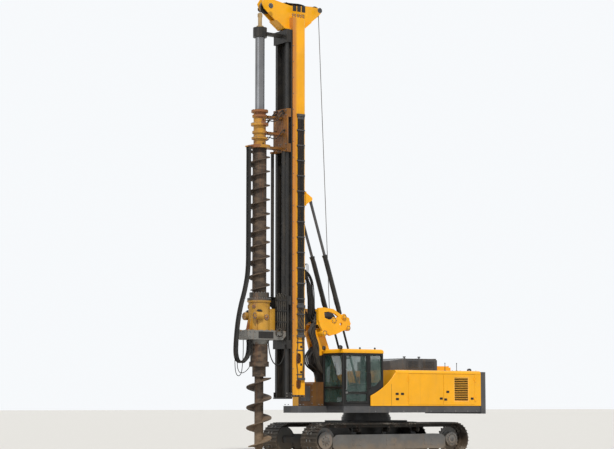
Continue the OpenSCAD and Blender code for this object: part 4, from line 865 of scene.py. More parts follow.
def rounded(width, height, radius, steps=5):
    """A rectangle about the origin as [u, v] running anticlockwise, its corners quarter circles about
    points drawn in by the radius."""
    corners = []
    for cu, cv, start in [(1, 1, 0), (-1, 1, 90), (-1, -1, 180), (1, -1, 270)]:
        turn = np.radians(np.linspace(start, start + 90, steps))
        corners.append(np.stack([cu * (width / 2 - radius) + radius * np.cos(turn),
                                 cv * (height / 2 - radius) + radius * np.sin(turn)], -1))
    return np.concatenate(corners)


def add_plate(shape, centre, width, height, depth, along_u, along_v, radius=0.01, edge=0.002):
    """A plate with round corners that stands depth proud of its centre along the normal."""
    shape.add(*panel(rounded(width, height, radius), depth, centre, along_u, along_v, edge))


def add_latch(shape, x, z, side):
    """A paddle latch: a bezel, a smaller paddle proud of it, and a round lock beside that."""
    out, bezel = side * ACROSS, 0.007
    y = side * HOUSE_SIDE
    add_plate(shape, at(x, y, z), 0.120, 0.070, bezel, -side * AHEAD, UP, 0.012)
    add_plate(shape, at(x + 14, y, z) + bezel * out, 0.066, 0.046, 0.007, -side * AHEAD, UP, 0.008)
    lock = turned([[0.002, 0], [0.013, 0], [0.013, 0.004], [0.009, 0.005], [0.002, 0.003]], out, 20)
    shape.put(lock, at(x - 42, y, z) + bezel * out)


class RIG_OT_house_latches(bpy.types.Operator):
    """Paddle latches on the doors of both sides and on the fairing"""
    bl_idname = "rig.house_latches"
    bl_label = "Latches of the house"

    def execute(self, context):
        groups = [("upper", FAIRING_LATCHES, 1)]
        for side, word in ((1, "left"), (-1, "right")):
            for door in ("rear", "mid"):
                places = [(x, z) for where, x, z in DOOR_LATCHES if where == door]
                groups.append((f"door_{word}_{door}", places, side))
        for body, places, side in groups:
            shape = Shape()
            for x, z in places:
                add_latch(shape, x, z, side)
            shape.piece("latches_" + body, body, "cab_black", 35)
        return {"FINISHED"}


def fairing_edge(share):
    """The fairing's upper edge in X and Z: a curve drawn by its two ends and one pull point."""
    share = np.asarray(share, float)[:, None]
    a, b, c = np.array([880.0, 1870.0]), np.array([230.0, 2140.0]), np.array([-90.0, 2590.0])
    return (1 - share) ** 2 * a + 2 * share * (1 - share) * b + share ** 2 * c


class RIG_OT_house_seams(bpy.types.Operator):
    """Panel seams, the fairing's folded lip, the hood's joints and its bolts"""
    bl_idname = "rig.house_seams"
    bl_label = "Seams and lips of the house"

    def execute(self, context):
        seams, lips, bolts = Shape(), Shape(), Shape()
        seams.block((86, HOUSE_SIDE + 0.2, 1580), (94, HOUSE_SIDE + 1.2, 2240), 0.0004)
        for x in (-594, -1995, -3296):
            seams.block((x - 4, -1330, HOOD_TOP + 0.2), (x + 4, 1330, HOOD_TOP + 1.2), 0.0004)
        # The lip: a narrow rolled band that follows the fairing's edge
        for y in (1412, 1388):
            path = [at(x, y, z + 3) for x, z in fairing_edge(np.linspace(0, 1, 30))]
            lips.add(*tube(path, 0.008, 10))
        lips.add(*tube(straight((881, 1400, 1590), (881, 1400, 1866), 8), 0.008, 10))
        # Gutter strips along the hood's edges, bolts, and the shallow ribs pressed into its top
        for side in (-1, 1):
            y = side * (HOUSE_SIDE + 1)
            lips.add(*tube(straight((-3540, y, 2588), (-100, y, 2588), 12), 0.006, 8, aside=UP))
            rows = [at(x, side * 1300, HOOD_TOP) for x in range(-3450, -150, 330)]
            rows += [at(x, side * 640, HOOD_TOP) for x in (-2950, -2750, -2500, -2300)]
            add_bolts(bolts, rows, UP, 0.022)
            add_bolts(bolts, [at(x, side * 540, 2840) for x in (-2930, -2260)], UP, 0.024)
            for x in (-3420, -2090, -430):
                add_plate(lips, at(x, side * 900, HOOD_TOP), 0.5, 0.10, 0.006, ACROSS, -AHEAD, 0.045)
        seams.piece("house_seams", "upper", "seal_rubber")
        lips.piece("house_lips", "upper", "yellow_paint", 50)
        bolts.piece("hood_bolts", "upper", "zinc")
        return {"FINISHED"}


class RIG_OT_hood_box_trim(bpy.types.Operator):
    """Louvres and a lid rim on the dark box, and poles on the hood"""
    bl_idname = "rig.hood_box_trim"
    bl_label = "Trim of the hood box"

    def execute(self, context):
        louvres, poles = Shape(), Shape()
        for side in (-1, 1):
            for x0, x1 in [(-2130, -1560), (-1480, -960)]:
                add_plate(louvres, at((x0 + x1) / 2, side * 850, 2870), (x1 - x0) / 1000, 0.27, 0.010,
                          -side * AHEAD, UP, 0.02)
                for z in range(2775, 2970, 32):
                    louvres.block((x0 + 45, side * 860, z), (x1 - 45, side * 874, z + 12), 0.003)
            for x in (-880, -640, -400):
                louvres.block((x, side * 850, 2745), (x + 90, side * 858, 2920 - (x + 900) * 0.12), 0.003)
        for x in (-2150, -1500, -930):
            louvres.block((x - 18, -846, 3058), (x + 18, 846, 3066), 0.003)
        # Two short poles on welded feet stand on the hood's near edge
        for x in (-2745, -2262):
            for radius, low, high in ((0.010, 2684, 2905), (0.017, 2905, 2930)):
                poles.add(*tube(straight((x, 1180, low), (x, 1180, high), 4), radius, 10, aside=AHEAD))
            poles.put(turned([[0.004, 0], [0.045, 0], [0.045, 0.007], [0.018, 0.012]], UP, 20),
                      at(x, 1180, HOOD_TOP))
        louvres.piece("hood_box_louvres", "upper", "grey_paint")
        poles.piece("hood_poles", "upper", "black_paint", 50)
        return {"FINISHED"}


class RIG_OT_deck_trim(bpy.types.Operator):
    """Bolts, seams and welds along the deck's side beams, and the plate on the nose box"""
    bl_idname = "rig.deck_trim"
    bl_label = "Trim of the deck"

    def execute(self, context):
        bolts, plates, welds = Shape(), Shape(), Shape()
        for side in (-1, 1):
            rows = (-3380, -3000, -2500, -2050, -1500, -950, -400, 150, 700)
            add_bolts(bolts, [at(x, side * DECK_SIDE, 1400) for x in rows], side * ACROSS, 0.026)
            skin, seam = side * (DECK_SIDE + 0.2), side * (DECK_SIDE + 1.4)
            for x in (-3360, -620, 60):
                plates.block((x - 3, skin, 1372), (x + 3, seam, 1562), 0.0004)
            y = side * (DECK_SIDE + 2)
            welds.add(*tube(straight((-3540, y, 1561), (1840, y, 1561), 60), 0.006, 6, aside=UP))
        add_bolts(bolts, [at(x, y, DECK_TOP) for x in (2000, 2120, 2700, 2820) for y in (-405, 405)], UP, 0.036)
        # The box on the nose: bolts along both edges of its front, and a bolted plate between them
        front = 2335
        add_bolts(bolts, [at(front, y, z) for y in (-350, 350) for z in (1650, 1850, 2050, 2230)], AHEAD, 0.026)
        add_plate(plates, at(front, 0, 1950), 0.50, 0.46, 0.008, ACROSS, UP, 0.03)
        add_bolts(bolts, [at(front + 8, y, z) for y in (-220, 0, 220) for z in (1750, 2150)], AHEAD, 0.022)
        bolts.piece("deck_bolts", "upper", "zinc")
        plates.piece("deck_plates", "upper", "grey_paint")
        welds.piece("deck_welds", "upper", "grey_paint", 50)
        return {"FINISHED"}


# Cab: seals, handles, wiper, lamps, and what stands inside

# The cab's faces, its window edges and its door, in millimetres
CAB_FRONT, CAB_REAR, CAB_IN, CAB_OUT, CAB_MIDDLE = 1900, 370, 340, 1370, 855
CAB_SILL, CAB_HEAD, CAB_FOOT, CAB_ROOF = 2130, 3120, 1680, 3300
DOOR_REAR, DOOR_FRONT, DOOR_LOW, DOOR_TOP, DOOR_RAIL = 958, 1848, 1648, 3160, 1950
# The seat's middle and its base
SEAT = np.array([930, CAB_MIDDLE, 2050.3])


def add_seal(shape, centre, width, height, along_u, radius=0.04, thick=0.009):
    """A rubber bead laid round a window's opening, on an upright rectangle with round corners."""
    outline = rounded(width, height, radius, 6)
    path = centre + outline[:, :1] * along_u + outline[:, 1:] * UP
    shape.add(*tube(closed_loop(path), thick, 8, aside=np.cross(along_u, UP)))


def add_rail(shape, x, foot, head, near, stand, radius):
    """A grab rail on the cab's outer face: near its foot and head it bends out, over near, to stand."""
    run = course([(x, 1372, foot), (x, near, foot + 15), (x, stand, foot + 60), (x, stand, head - 60),
                  (x, near, head - 15), (x, 1372, head)])
    shape.add(*tube(run, radius, 10))


def pad(low, high, crown=0.0, power=0.45, columns=40, rows=22):
    """A cushion: a ball pressed towards its box by a power below one, its top raised by a crown
    that fades to the sides, and its sides drawn in between the corners."""
    low, high = np.asarray(low, float), np.asarray(high, float)
    middle, half = (low + high) / 2, (high - low) / 2
    v = np.linspace(-math.pi / 2, math.pi / 2, rows)[:, None]
    u = np.linspace(-math.pi, math.pi, columns, endpoint=False)[None, :]

    def press(value):
        """A sine or cosine, its size raised to the power and its sign kept."""
        return np.sign(value) * np.abs(value) ** power
    x = press(np.cos(v)) * press(np.cos(u))
    y = press(np.cos(v)) * press(np.sin(u))
    z = press(np.sin(v)) * np.ones_like(u)
    draw = 1 - 0.05 * np.cos(2 * u) ** 2 * np.cos(v) ** 2
    lift = crown * (1 - x ** 2) * (1 - y ** 2) * (z > 0)
    points = np.stack([x * draw * half[0], y * draw * half[1], z * half[2] + lift], -1) + middle
    return points, grid_faces(rows, columns), end_faces(rows, columns)


class RIG_OT_cab_trim(bpy.types.Operator):
    """Window seals, the wiper, rails and lamps of the cab"""
    bl_idname = "rig.cab_trim"
    bl_label = "Trim of the cab"

    def execute(self, context):
        seals, bars, lamps, lenses = Shape(), Shape(), Shape(), Shape()
        wide = (CAB_OUT - CAB_IN - 140) / 1000
        for x, low, high, width in ((CAB_FRONT + 2, CAB_FOOT, CAB_SILL - 25, wide),
                                    (CAB_FRONT + 2, CAB_SILL + 25, CAB_HEAD, wide),
                                    (CAB_REAR - 2, 2280, CAB_HEAD, 0.85)):
            add_seal(seals, at(x, CAB_MIDDLE, (low + high) / 2), width, (high - low) / 1000, ACROSS)
        centre = at(1120, CAB_IN - 2, (CAB_SILL + CAB_HEAD) / 2)
        add_seal(seals, centre, 1.32, (CAB_HEAD - CAB_SILL) / 1000, AHEAD)
        quarter = [(430, 2370), (430, 3080), (470, 3120), (880, 3120), (880, 2160), (690, 2160)]
        path = closed_loop([at(x, CAB_OUT + 2, z) for x, z in quarter])
        seals.add(*tube(path, 0.010, 8, aside=ACROSS))
        # Corner guards down the front posts, a drip rail under the roof, and a grab rail behind the door
        for y in (CAB_IN + 16, CAB_OUT - 16):
            bars.add(*tube(straight((CAB_FRONT + 1, y, 1590), (CAB_FRONT + 1, y, 3170), 10), 0.016, 12))
        drip = course([(376, CAB_OUT + 3, 3172), (1100, CAB_OUT + 3, 3174), (1894, CAB_OUT + 3, 3172)])
        bars.add(*tube(drip, 0.009, 8, aside=UP))
        add_rail(bars, 905, 2090, 2560, 1425, 1434, 0.0125)
        # Wiper: a spindle, a sprung arm and a blade on the upper front pane
        spindle = turned([[0.004, 0], [0.024, 0], [0.022, 0.020], [0.012, 0.026]], AHEAD, 16)
        bars.put(spindle, at(CAB_FRONT, 1180, 2142))
        bars.add(*tube(course([(1924, 1180, 2142), (1928, 1120, 2330), (1918, 1010, 2620)]), 0.006, 8))
        seals.add(*tube(course([(1909, 1075, 2330), (1911, 1015, 2620), (1909, 950, 2900)], 8), 0.009, 8))
        # On the roof, two short stubs, and two work lamps at its front edge
        stub = turned([[0.01, 0], [0.028, 0], [0.028, 0.05], [0.022, 0.066], [0.01, 0.072]], UP, 20)
        shell = turned([[0.02, -0.045], [0.045, -0.04], [0.062, -0.01], [0.066, 0.03], [0.060, 0.032],
                        [0.056, 0.02], [0.02, 0.016]], AHEAD, 24)
        lens = turned([[0.01, 0.020], [0.055, 0.020], [0.050, 0.028], [0.01, 0.031]], AHEAD, 24)
        for x in (990, 410):
            lamps.put(stub, at(x, 1000, CAB_ROOF))
        for y in (420, 1290):
            centre = at(1935, y, CAB_ROOF + 45)
            lamps.put(shell, centre)
            lenses.put(lens, centre)
            lamps.block((1880, y - 12, CAB_ROOF - 2), (1915, y + 12, CAB_ROOF + 45), 0.003)
        seals.piece("cab_seals", "upper", "seal_rubber", 60)
        bars.piece("cab_bars", "upper", "cab_black", 50)
        lamps.piece("cab_lamps", "upper", "cab_black", 40)
        lenses.piece("cab_lamp_lenses", "upper", "zinc", 40)
        return {"FINISHED"}


class RIG_OT_cab_door_trim(bpy.types.Operator):
    """Seals, a rail and a handle on the cab's door"""
    bl_idname = "rig.cab_door_trim"
    bl_label = "Trim of the cab door"

    def execute(self, context):
        seals, bars = Shape(), Shape()
        for low, high in [(DOOR_LOW + 50, DOOR_RAIL), (DOOR_RAIL + 40, DOOR_TOP - 50)]:
            add_seal(seals, at((DOOR_REAR + DOOR_FRONT) / 2, CAB_OUT + 2, (low + high) / 2),
                     (DOOR_FRONT - DOOR_REAR - 100) / 1000, (high - low) / 1000, AHEAD, 0.05, 0.010)
        rear, front, low, high = DOOR_REAR + 4, DOOR_FRONT - 4, DOOR_LOW + 4, DOOR_TOP - 4
        path = [at(x, CAB_OUT + 1, z) for x, z in ((rear, low), (front, low), (front, high), (rear, high))]
        seals.add(*tube(closed_loop(path), 0.006, 6, aside=ACROSS))
        add_rail(bars, 1815, 2060, 2680, 1418, 1428, 0.0115)
        bars.block((1745, 1384, 1940), (1825, 1390, 2000), 0.003)
        grip = course([(1760, 1390, 1985), (1760, 1418, 1984), (1775, 1424, 1984), (1800, 1424, 1984),
                       (1815, 1418, 1984), (1815, 1390, 1985)], 5)
        bars.add(*tube(grip, 0.008, 8, aside=UP))
        seals.piece("cab_door_seals", "cab_door", "seal_rubber", 60)
        bars.piece("cab_door_bars", "cab_door", "zinc", 50)
        return {"FINISHED"}


class RIG_OT_cab_inside(bpy.types.Operator):
    """The operator's chair, its levers, the screen, pedals and mat"""
    bl_idname = "rig.cab_inside"
    bl_label = "Inside of the cab"

    def execute(self, context):
        cushions, levers, screen = Shape(), Shape(), Shape()
        # Seat, back and head rest, then an arm rest and a side cushion for each side, from the seat's middle
        pads = [((-235, -238, 2), (248, 238, 112), 0.008), ((-288, -218, 96), (-182, 218, 560), 0.0),
                ((-280, -150, 585), (-190, 150, 756), 0.0)]
        for side in (-1, 1):
            pads += [((-200, side * 262 - 34, 172), (130, side * 262 + 34, 222), 0.0),
                     ((-205, side * 205 - 30, 90), (200, side * 205 + 30, 148), 0.0)]
        for low, high, crown in pads:
            cushions.add(*pad(at(*(SEAT + low)), at(*(SEAT + high)), crown))
        for side in (-1, 1):
            stick = [[0.006, 0], [0.042, 0], [0.036, 0.016], [0.018, 0.045], [0.011, 0.06], [0.010, 0.12],
                     [0.021, 0.14], [0.025, 0.19], [0.021, 0.235], [0.006, 0.242]]
            levers.put(turned(stick, UP, 18), at(*(SEAT + (250, side * 310, 170))))
            # A pedal with its own tall lever and knob
            y = CAB_MIDDLE + side * 110
            levers.block((1620, y - 45, 1640), (1640, y + 45, 1800), 0.004)
            levers.add(*tube(course([(1630, y, 1660), (1600, y, 2000), (1560, y, 2320)]), 0.011, 10))
            knob = turned([[0.004, -0.03], [0.02, -0.024], [0.027, 0], [0.02, 0.024], [0.004, 0.03]], UP, 16)
            levers.put(knob, at(1560, y, 2340))
        levers.block((430, 400, 1611), (1840, 1310, 1617))
        add_plate(screen, at(1722, 425, 2560), 0.26, 0.18, 0.03, ACROSS, UP, 0.015, 0.004)
        levers.add(*tube(course([(1760, 480, 2468), (1740, 460, 2500), (1725, 430, 2540)], 5), 0.014, 10))
        made = cushions.piece("chair_cushions", "upper", "chair_cloth", 60)
        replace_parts(made, "cab_stool")
        levers.piece("cab_levers", "upper", "console_plastic", 50)
        screen.piece("cab_screen", "upper", "cab_black", 40)
        return {"FINISHED"}


# Mast, rotary head, swivel and arms: caps, bolts, guards, ports and ribs


def add_cap(plates, bolts, place, axis, radius, count, size=0.024):
    """A stepped cap over a pin's end with a ring of bolts."""
    plates.put(turned([[radius, 0.0], [radius, 0.010], [radius - 0.006, 0.014], [radius * 0.45, 0.014],
                       [radius * 0.40, 0.020]], axis, 32), place)
    add_bolts(bolts, ring_of(place + axis * 0.014, radius * 0.74, count, *frame_of(axis)), axis, size)


def oval_rim(x, y, z, width, height):
    """A closed bead round an upright oval hole: a circle as wide as the hole, its halves moved apart."""
    half, apart = width / 2, (height - width) / 2
    turn = (np.linspace(0, 2 * math.pi, 41) + 1e-4)[:, None]
    rise = half * np.sin(turn) + apart * np.sign(np.sin(turn))
    return at(x, y, z) + (half * np.cos(turn) * AHEAD + rise * UP) / 1000


class RIG_OT_mast_trim(bpy.types.Operator):
    """Welds, corner strips, rims of the oval holes and guards at the mast's foot"""
    bl_idname = "rig.mast_trim"
    bl_label = "Trim of the mast"

    def execute(self, context):
        strips, beads, guards, bolts = Shape(), Shape(), Shape(), Shape()
        for side in (-1, 1):
            out = side * ACROSS
            skin, weld, guard = side * (MAST_SIDE + 0.3), side * (MAST_SIDE + 1), side * (MAST_SIDE + 9)
            strips.block((2602, skin, 3420), (2622, side * (MAST_SIDE + 1.6), 13560), 0.0004)
            for z in (2240, 3010):
                beads.add(*tube(oval_rim(2830, weld, z, 190, 330), 0.008, 8))
            for x in (2603, 3047):
                beads.add(*tube(straight((x, weld, 1850), (x, weld, 13590), 60), 0.0045, 6, aside=AHEAD))
            guards.block((3060, weld, 1822), (3300, guard, 1980))
            guards.block((2610, weld, 1846), (3056, guard, 1900))
            add_bolts(bolts, [at(x, guard, z) for x in (3090, 3270) for z in (1860, 1945)], out, 0.03)
            add_bolts(bolts, [at(x, guard, 1873) for x in (2660, 2780, 2900, 3010)], out, 0.024)
            edge = [at(3030, side * (MAST_SIDE + 0.4), z) for z in range(2200, 13200, 500)]
            add_bolts(bolts, edge, out, 0.022)
            for z in (2560, 2790, 3330):
                guards.block((2700, side * (MAST_SIDE + 0.5), z), (2770, side * (MAST_SIDE + 4), z + 70), 0.003)
        strips.piece("mast_strips", "mast", "mast_edge")
        beads.piece("mast_beads", "mast", "mast_yellow", 50)
        guards.piece("mast_guards", "mast", "black_paint")
        bolts.piece("mast_bolts", "mast", "zinc")
        return {"FINISHED"}


class RIG_OT_mast_head_trim(bpy.types.Operator):
    """Sheave pin caps, dark side panels and the lines over the mast's head"""
    bl_idname = "rig.mast_head_trim"
    bl_label = "Trim of the mast head"

    def execute(self, context):
        caps, bolts, dark, lines = Shape(), Shape(), Shape(), Shape()
        for side in (-1, 1):
            out = side * ACROSS
            skin = side * (TOP_SIDE + 0.4)
            for x, z, _ in (FRONT_SHEAVE, REAR_SHEAVE):
                add_cap(caps, bolts, at(x, side * (TOP_SIDE + 0.3), z), out, 0.085, 6)
            for x, top in ((2560, 14010), (2730, 13990), (2900, 13980)):
                dark.block((x, skin, 13800), (x + 140, side * (TOP_SIDE + 4), top), 0.003)
            rows = [at(x, skin, z) for x in range(2640, 3060, 100) for z in (13640, 13700)]
            add_bolts(bolts, rows, out, 0.028)
        for i in range(6):
            y = -150 + 60 * i
            run = course([(2420 + 12 * i, y, 14020), (2520, y, 14062), (2700, y * 0.9, 14086),
                          (2900, y * 0.8, 14078), (3100, y * 0.9, 14066), (3240 - 10 * i, y, 14075)], 5)
            lines.add(*tube(run, 0.016, 8))
        caps.piece("sheave_caps", "mast", "grey_paint")
        bolts.piece("mast_head_bolts", "mast", "zinc")
        dark.piece("mast_head_panels", "mast", "black_paint")
        lines.piece("mast_head_lines", "mast", "hose_rubber", 50)
        return {"FINISHED"}


def turned_from_ahead(degrees):
    """The level direction at an angle from straight ahead: its cosine ahead and its sine across."""
    turn = math.radians(degrees)
    return math.cos(turn) * AHEAD + math.sin(turn) * ACROSS


class RIG_OT_head_trim(bpy.types.Operator):
    """Bolts, ports, ribs and motor caps on the rotary head and its swivel"""
    bl_idname = "rig.head_trim"
    bl_label = "Trim of the rotary head"

    def execute(self, context):
        bolts, caps, dark, ribs = Shape(), Shape(), Shape(), Shape()
        drum, base, base_top = 0.330, 3560, 3840
        for radius, z, count, size in ((0.348, 4800, 30, 0.034), (0.280, 4980, 20, 0.03),
                                       (0.235, 10600, 16, 0.028), (0.245, 10190, 20, 0.026)):
            add_bolts(bolts, ring_of(at(STRING_X, 0, z), radius, count), UP, size)
        for side in (-1, 1):
            # A motor: a cap over its front end, and a port block with two fittings on its top
            y = side * 300
            add_cap(caps, bolts, at(4400, y, 4280), AHEAD, 0.112, 8, 0.026)
            dark.block((4180, y - 60, 4398), (4320, y + 60, 4440), 0.006)
            for x in (4215, 4285):
                add_fitting(dark, at(x, y, 4440), UP, 0.020)
        # Covers round the drum's front: height and radius of each, at its turn from straight ahead
        for turn, z, radius, count, size in ((28, 4560, 0.060, 6, 0.018), (-28, 4560, 0.060, 6, 0.018),
                                             (62, 4240, 0.095, 8, 0.022), (-62, 4240, 0.095, 8, 0.022),
                                             (98, 4240, 0.095, 8, 0.022)):
            way = turned_from_ahead(turn)
            add_cap(caps, bolts, at(STRING_X, 0, z) + drum * way, way, radius, count, size)
        # Ribs from the base up the drum, wide at the foot
        walls = [(0, 1, 2, 3), (7, 6, 5, 4), (0, 4, 5, 1), (1, 5, 6, 2), (2, 6, 7, 3), (3, 7, 4, 0)]
        for turn in (12, 45, -12, -45):
            way = turned_from_ahead(turn)
            half_width = 0.010 * np.cross(UP, way)
            foot = at(STRING_X, 0, base_top) + (drum - 0.001) * way
            corners = [foot, foot + 0.085 * way, foot + 0.020 * way + 0.34 * UP, foot + 0.34 * UP]
            ribs.add([c + s * half_width for s in (-1, 1) for c in corners], walls)
        places = [at(x, y, base_top) for x in (3360, 3480, 3600, 4500, 4640) for y in (-290, -150, 150, 290)]
        add_bolts(bolts, places, UP, 0.034)
        add_bolts(bolts, [at(4680, y, z) for y in (-290, -100, 100, 290) for z in (3690, 3800)], AHEAD, 0.03)
        for side in (-1, 1):
            heights = (base + 80, base + 230)
            places = [at(x, side * HEAD_SIDE, z) for x in (3400, 3560, 4440, 4600) for z in heights]
            add_bolts(bolts, places, side * ACROSS, 0.03)
            skin, cover = side * (HEAD_SIDE + 0.5), side * (HEAD_SIDE + 8)
            dark.block((3760, skin, base + 40), (4300, cover, base + 240), 0.004)
        bolts.piece("head_bolts", "crowd", "zinc")
        caps.piece("head_caps", "crowd", "drive_yellow")
        dark.piece("head_ports", "crowd", "black_paint")
        ribs.piece("head_ribs", "crowd", "drive_yellow")
        return {"FINISHED"}


class RIG_OT_swivel_trim(bpy.types.Operator):
    """Short hoses from the upper sledge to the swivel, flange bolts and grease points"""
    bl_idname = "rig.swivel_trim"
    bl_label = "Trim of the swivel"

    def execute(self, context):
        hoses, bolts, blocks = Shape(), Shape(), Shape()
        # Each hose by its start's Y and Z on the sledge and its end's Z on the swivel
        for y, z, low in ((-230, 10560, 10250), (-160, 10640, 10270), (160, 10640, 10230), (230, 10560, 10290),
                          (-250, 10020, 9800), (250, 10020, 9780)):
            run = course([(3302, y, z), (3380, y * 1.05, z - 16), (3480, y * 1.08, z - 130), (3590, y, z - 260),
                          (3700, y * 0.85, z - 290), (3800, y * 0.75, (z - 290 + low) / 2),
                          (3872, math.copysign(130, y), low)])
            hoses.add(*tube(run, 0.015, 10))
            blocks.block((3300.5, y - 30, z - 34), (3326, y + 30, z + 34), 0.004)
        for radius, z in ((0.238, 9750), (0.258, 10190)):
            add_bolts(bolts, ring_of(at(STRING_X, 0, z), radius, 20), UP, 0.024)
        for side in (-1, 1):
            places = [at(3300.4, side * y, z) for y in (60, 330) for z in (9420, 9600, 10500, 10640)]
            add_bolts(bolts, places, AHEAD, 0.03)
            for z in (9560, 10180, 10300):
                add_fitting(blocks, at(STRING_X, side * 190, z), side * ACROSS, 0.016)
        hoses.piece("swivel_hoses", "crowd", "hose_rubber", 50)
        bolts.piece("swivel_bolts", "crowd", "zinc")
        blocks.piece("swivel_blocks", "crowd", "black_paint")
        return {"FINISHED"}


class RIG_OT_arm_trim(bpy.types.Operator):
    """Pin caps on the yoke, and two lines along each backstay barrel"""
    bl_idname = "rig.arm_trim"
    bl_label = "Trim of the yoke and stays"

    def execute(self, context):
        caps, bolts, lines = Shape(), Shape(), Shape()
        # The stay's lower and upper pin in X and Z, and the way square to the line between them
        foot, head = np.array([1240.0, 4320.0]), np.array([2410.0, 7940.0])
        run = unit(head - foot)
        aside = np.array([-run[1], run[0]])
        for side in (-1, 1):
            for x, z, y, radius, count in ((1080, 3980, 524.3, 0.080, 6), (1990, 3800, 524.3, 0.095, 8),
                                           (1240, 4320, 534.3, 0.080, 6), (1620, 4200, 510.3, 0.10, 8)):
                add_cap(caps, bolts, at(x, side * y, z), side * ACROSS, radius, count)
            for off, start, stop in ((84, 260, 1830), (-84, 420, 640)):
                (x0, z0), (x1, z1) = (foot + run * s + aside * off for s in (start, stop))
                lines.add(*tube(straight((x0, side * 335, z0), (x1, side * 335, z1), 20), 0.011, 8))
        lines.piece("stay_lines", "stay_barrels", "grey_paint", 50)
        caps.piece("yoke_caps", "yoke", "yellow_paint")
        bolts.piece("yoke_bolts", "yoke", "grey_paint")
        return {"FINISHED"}


# Tracks: bolts, links and pins on the loops, and the covers of the side frames

# The end axles' X and Z, the pads' radius round them, the links' radius, a track's middle in Y, and the pitch
IDLER_X, AXLE, PAD_RADIUS, LINK_RADIUS, TRACK_Y, SHOES = 2470.0, 530.0, 502.0, 434, 1050, 60
HALF_TURN = math.pi * PAD_RADIUS
SHOE_STEP = (4 * IDLER_X + 2 * HALF_TURN) / SHOES


def on_loop(run, radius):
    """The place and the outward way on the track's loop, at a run along it and a radius from the end axles."""
    if run < 2 * IDLER_X:
        return (-IDLER_X + run, AXLE - radius), -UP
    if run < 2 * IDLER_X + HALF_TURN:
        x, turn = IDLER_X, math.pi * (run - 2 * IDLER_X) / HALF_TURN - math.pi / 2
    elif run < 4 * IDLER_X + HALF_TURN:
        return (3 * IDLER_X + HALF_TURN - run, AXLE + radius), UP
    else:
        x, turn = -IDLER_X, math.pi * (run - 4 * IDLER_X - HALF_TURN) / HALF_TURN + math.pi / 2
    way = math.cos(turn) * AHEAD + math.sin(turn) * UP
    return (x + radius * math.cos(turn), AXLE + radius * math.sin(turn)), way


class RIG_OT_track_parts(bpy.types.Operator):
    """Shoe bolts, link plates and pins on both tracks"""
    bl_idname = "rig.track_parts"
    bl_label = "Bolts and links of the tracks"

    def execute(self, context):
        for side, body in ((1, "left"), (-1, "right")):
            bolts, links = Shape(), Shape()
            middle = side * TRACK_Y
            for i in range(SHOES):
                for share in (0.30, 0.46):
                    (x, z), way = on_loop((i + share) * SHOE_STEP, PAD_RADIUS)
                    add_bolts(bolts, [at(x, middle + row, z) for row in (-85, 85)], way, 0.034)
                pin_x, pin_z = on_loop((i + 0.02) * SHOE_STEP, LINK_RADIUS)[0]
                (x, z), way = on_loop((i + 0.52) * SHOE_STEP, LINK_RADIUS)
                for row in (-110.5, 110.5):
                    out = math.copysign(1, row) * ACROSS
                    links.put(turned([[0.027, 0], [0.027, 0.007], [0.022, 0.011]], out, 14),
                              at(pin_x, middle + row, pin_z))
                    add_plate(links, at(x, middle + row, z) + out * 0.0025, 0.150, 0.070, 0.005,
                              np.cross(out, way), way, 0.016)
            bolts.piece(f"shoe_bolts_{body}", "undercarriage", "zinc", slot="track_steel")
            links.piece(f"link_plates_{body}", "undercarriage", "track_steel", 35)
        return {"FINISHED"}


class RIG_OT_side_frame_trim(bpy.types.Operator):
    """Covers and hub bolts on the outer face of both side frames"""
    bl_idname = "rig.side_frame_trim"
    bl_label = "Trim of the side frames"

    def execute(self, context):
        bolts, plates = Shape(), Shape()
        for side in (-1, 1):
            out = side * ACROSS
            for x in (-1500, 0, 1300):
                centre = at(x, side * (FRAME_SIDE + 4.3), 470)
                add_plate(plates, centre, 0.34, 0.20, 0.008, AHEAD, UP, 0.03)
                y = side * (FRAME_SIDE + 8.5)
                add_bolts(bolts, [at(x + a, y, 470 + b) for a in (-142, 142) for b in (-72, 72)], out, 0.022)
            for x, radius, count in ((-IDLER_X, 0.172, 14), (IDLER_X, 0.120, 8)):
                centre = at(x, side * (FRAME_SIDE + 14.5), AXLE)
                add_bolts(bolts, ring_of(centre, radius, count, v=UP), out, 0.030)
                plates.put(turned([[0.070, 0], [0.070, 0.010], [0.055, 0.018], [0.022, 0.018], [0.022, 0.030]],
                                  out, 30), at(x, side * (FRAME_SIDE + 14.3), AXLE))
        bolts.piece("side_frame_bolts", "undercarriage", "zinc")
        plates.piece("side_frame_plates", "undercarriage", "frame_grey")
        return {"FINISHED"}


# Stage: floor, sky, lights and camera

# The camera's place in millimetres, and its turn from straight across and rise in degrees
CAMERA_PLACE, CAMERA_TURN, CAMERA_RISE = (32810, 43150, 1610), 35.28, 6.02
FLOOR_REACH, FLOOR_Z = 400.0, -0.002


def aim(obj, place, target):
    """Turns an object that looks along its own -Z so that it looks from place to target."""
    obj.location = place
    obj.rotation_euler = (Vector(target) - Vector(place)).to_track_quat("-Z", "Y").to_euler()


def add_sun(name, place, target, strength, spread, colour):
    """A distant lamp that shines from place to target; its spread in degrees softens the shadows."""
    data = bpy.data.lights.new(name, "SUN")
    data.energy, data.angle, data.color = strength, math.radians(spread), colour
    lamp = bpy.data.objects.new(name, data)
    bpy.context.scene.collection.objects.link(lamp)
    aim(lamp, place, target)


def add_floor(colour):
    """A level, matt sheet of eight by eight squares under the tracks."""
    reach = np.linspace(-FLOOR_REACH, FLOOR_REACH, 9)
    x, y = np.meshgrid(reach, reach, indexing="ij")
    points = np.stack([x, y, np.full_like(x, FLOOR_Z)], -1).reshape(-1, 3)
    mesh = bpy.data.meshes.new("floor")
    mesh.from_pydata(points.tolist(), [], grid_faces(9, 9, wrap=False).tolist())
    material = bpy.data.materials.new("pale_floor")
    tree = new_tree(material)
    to_surface(tree, node(tree, "BsdfPrincipled", {"Base Color": rgb(colour), "Roughness": 0.9}))
    mesh.materials.append(material)
    ground = bpy.data.objects.new("floor", mesh)
    bpy.context.scene.collection.objects.link(ground)


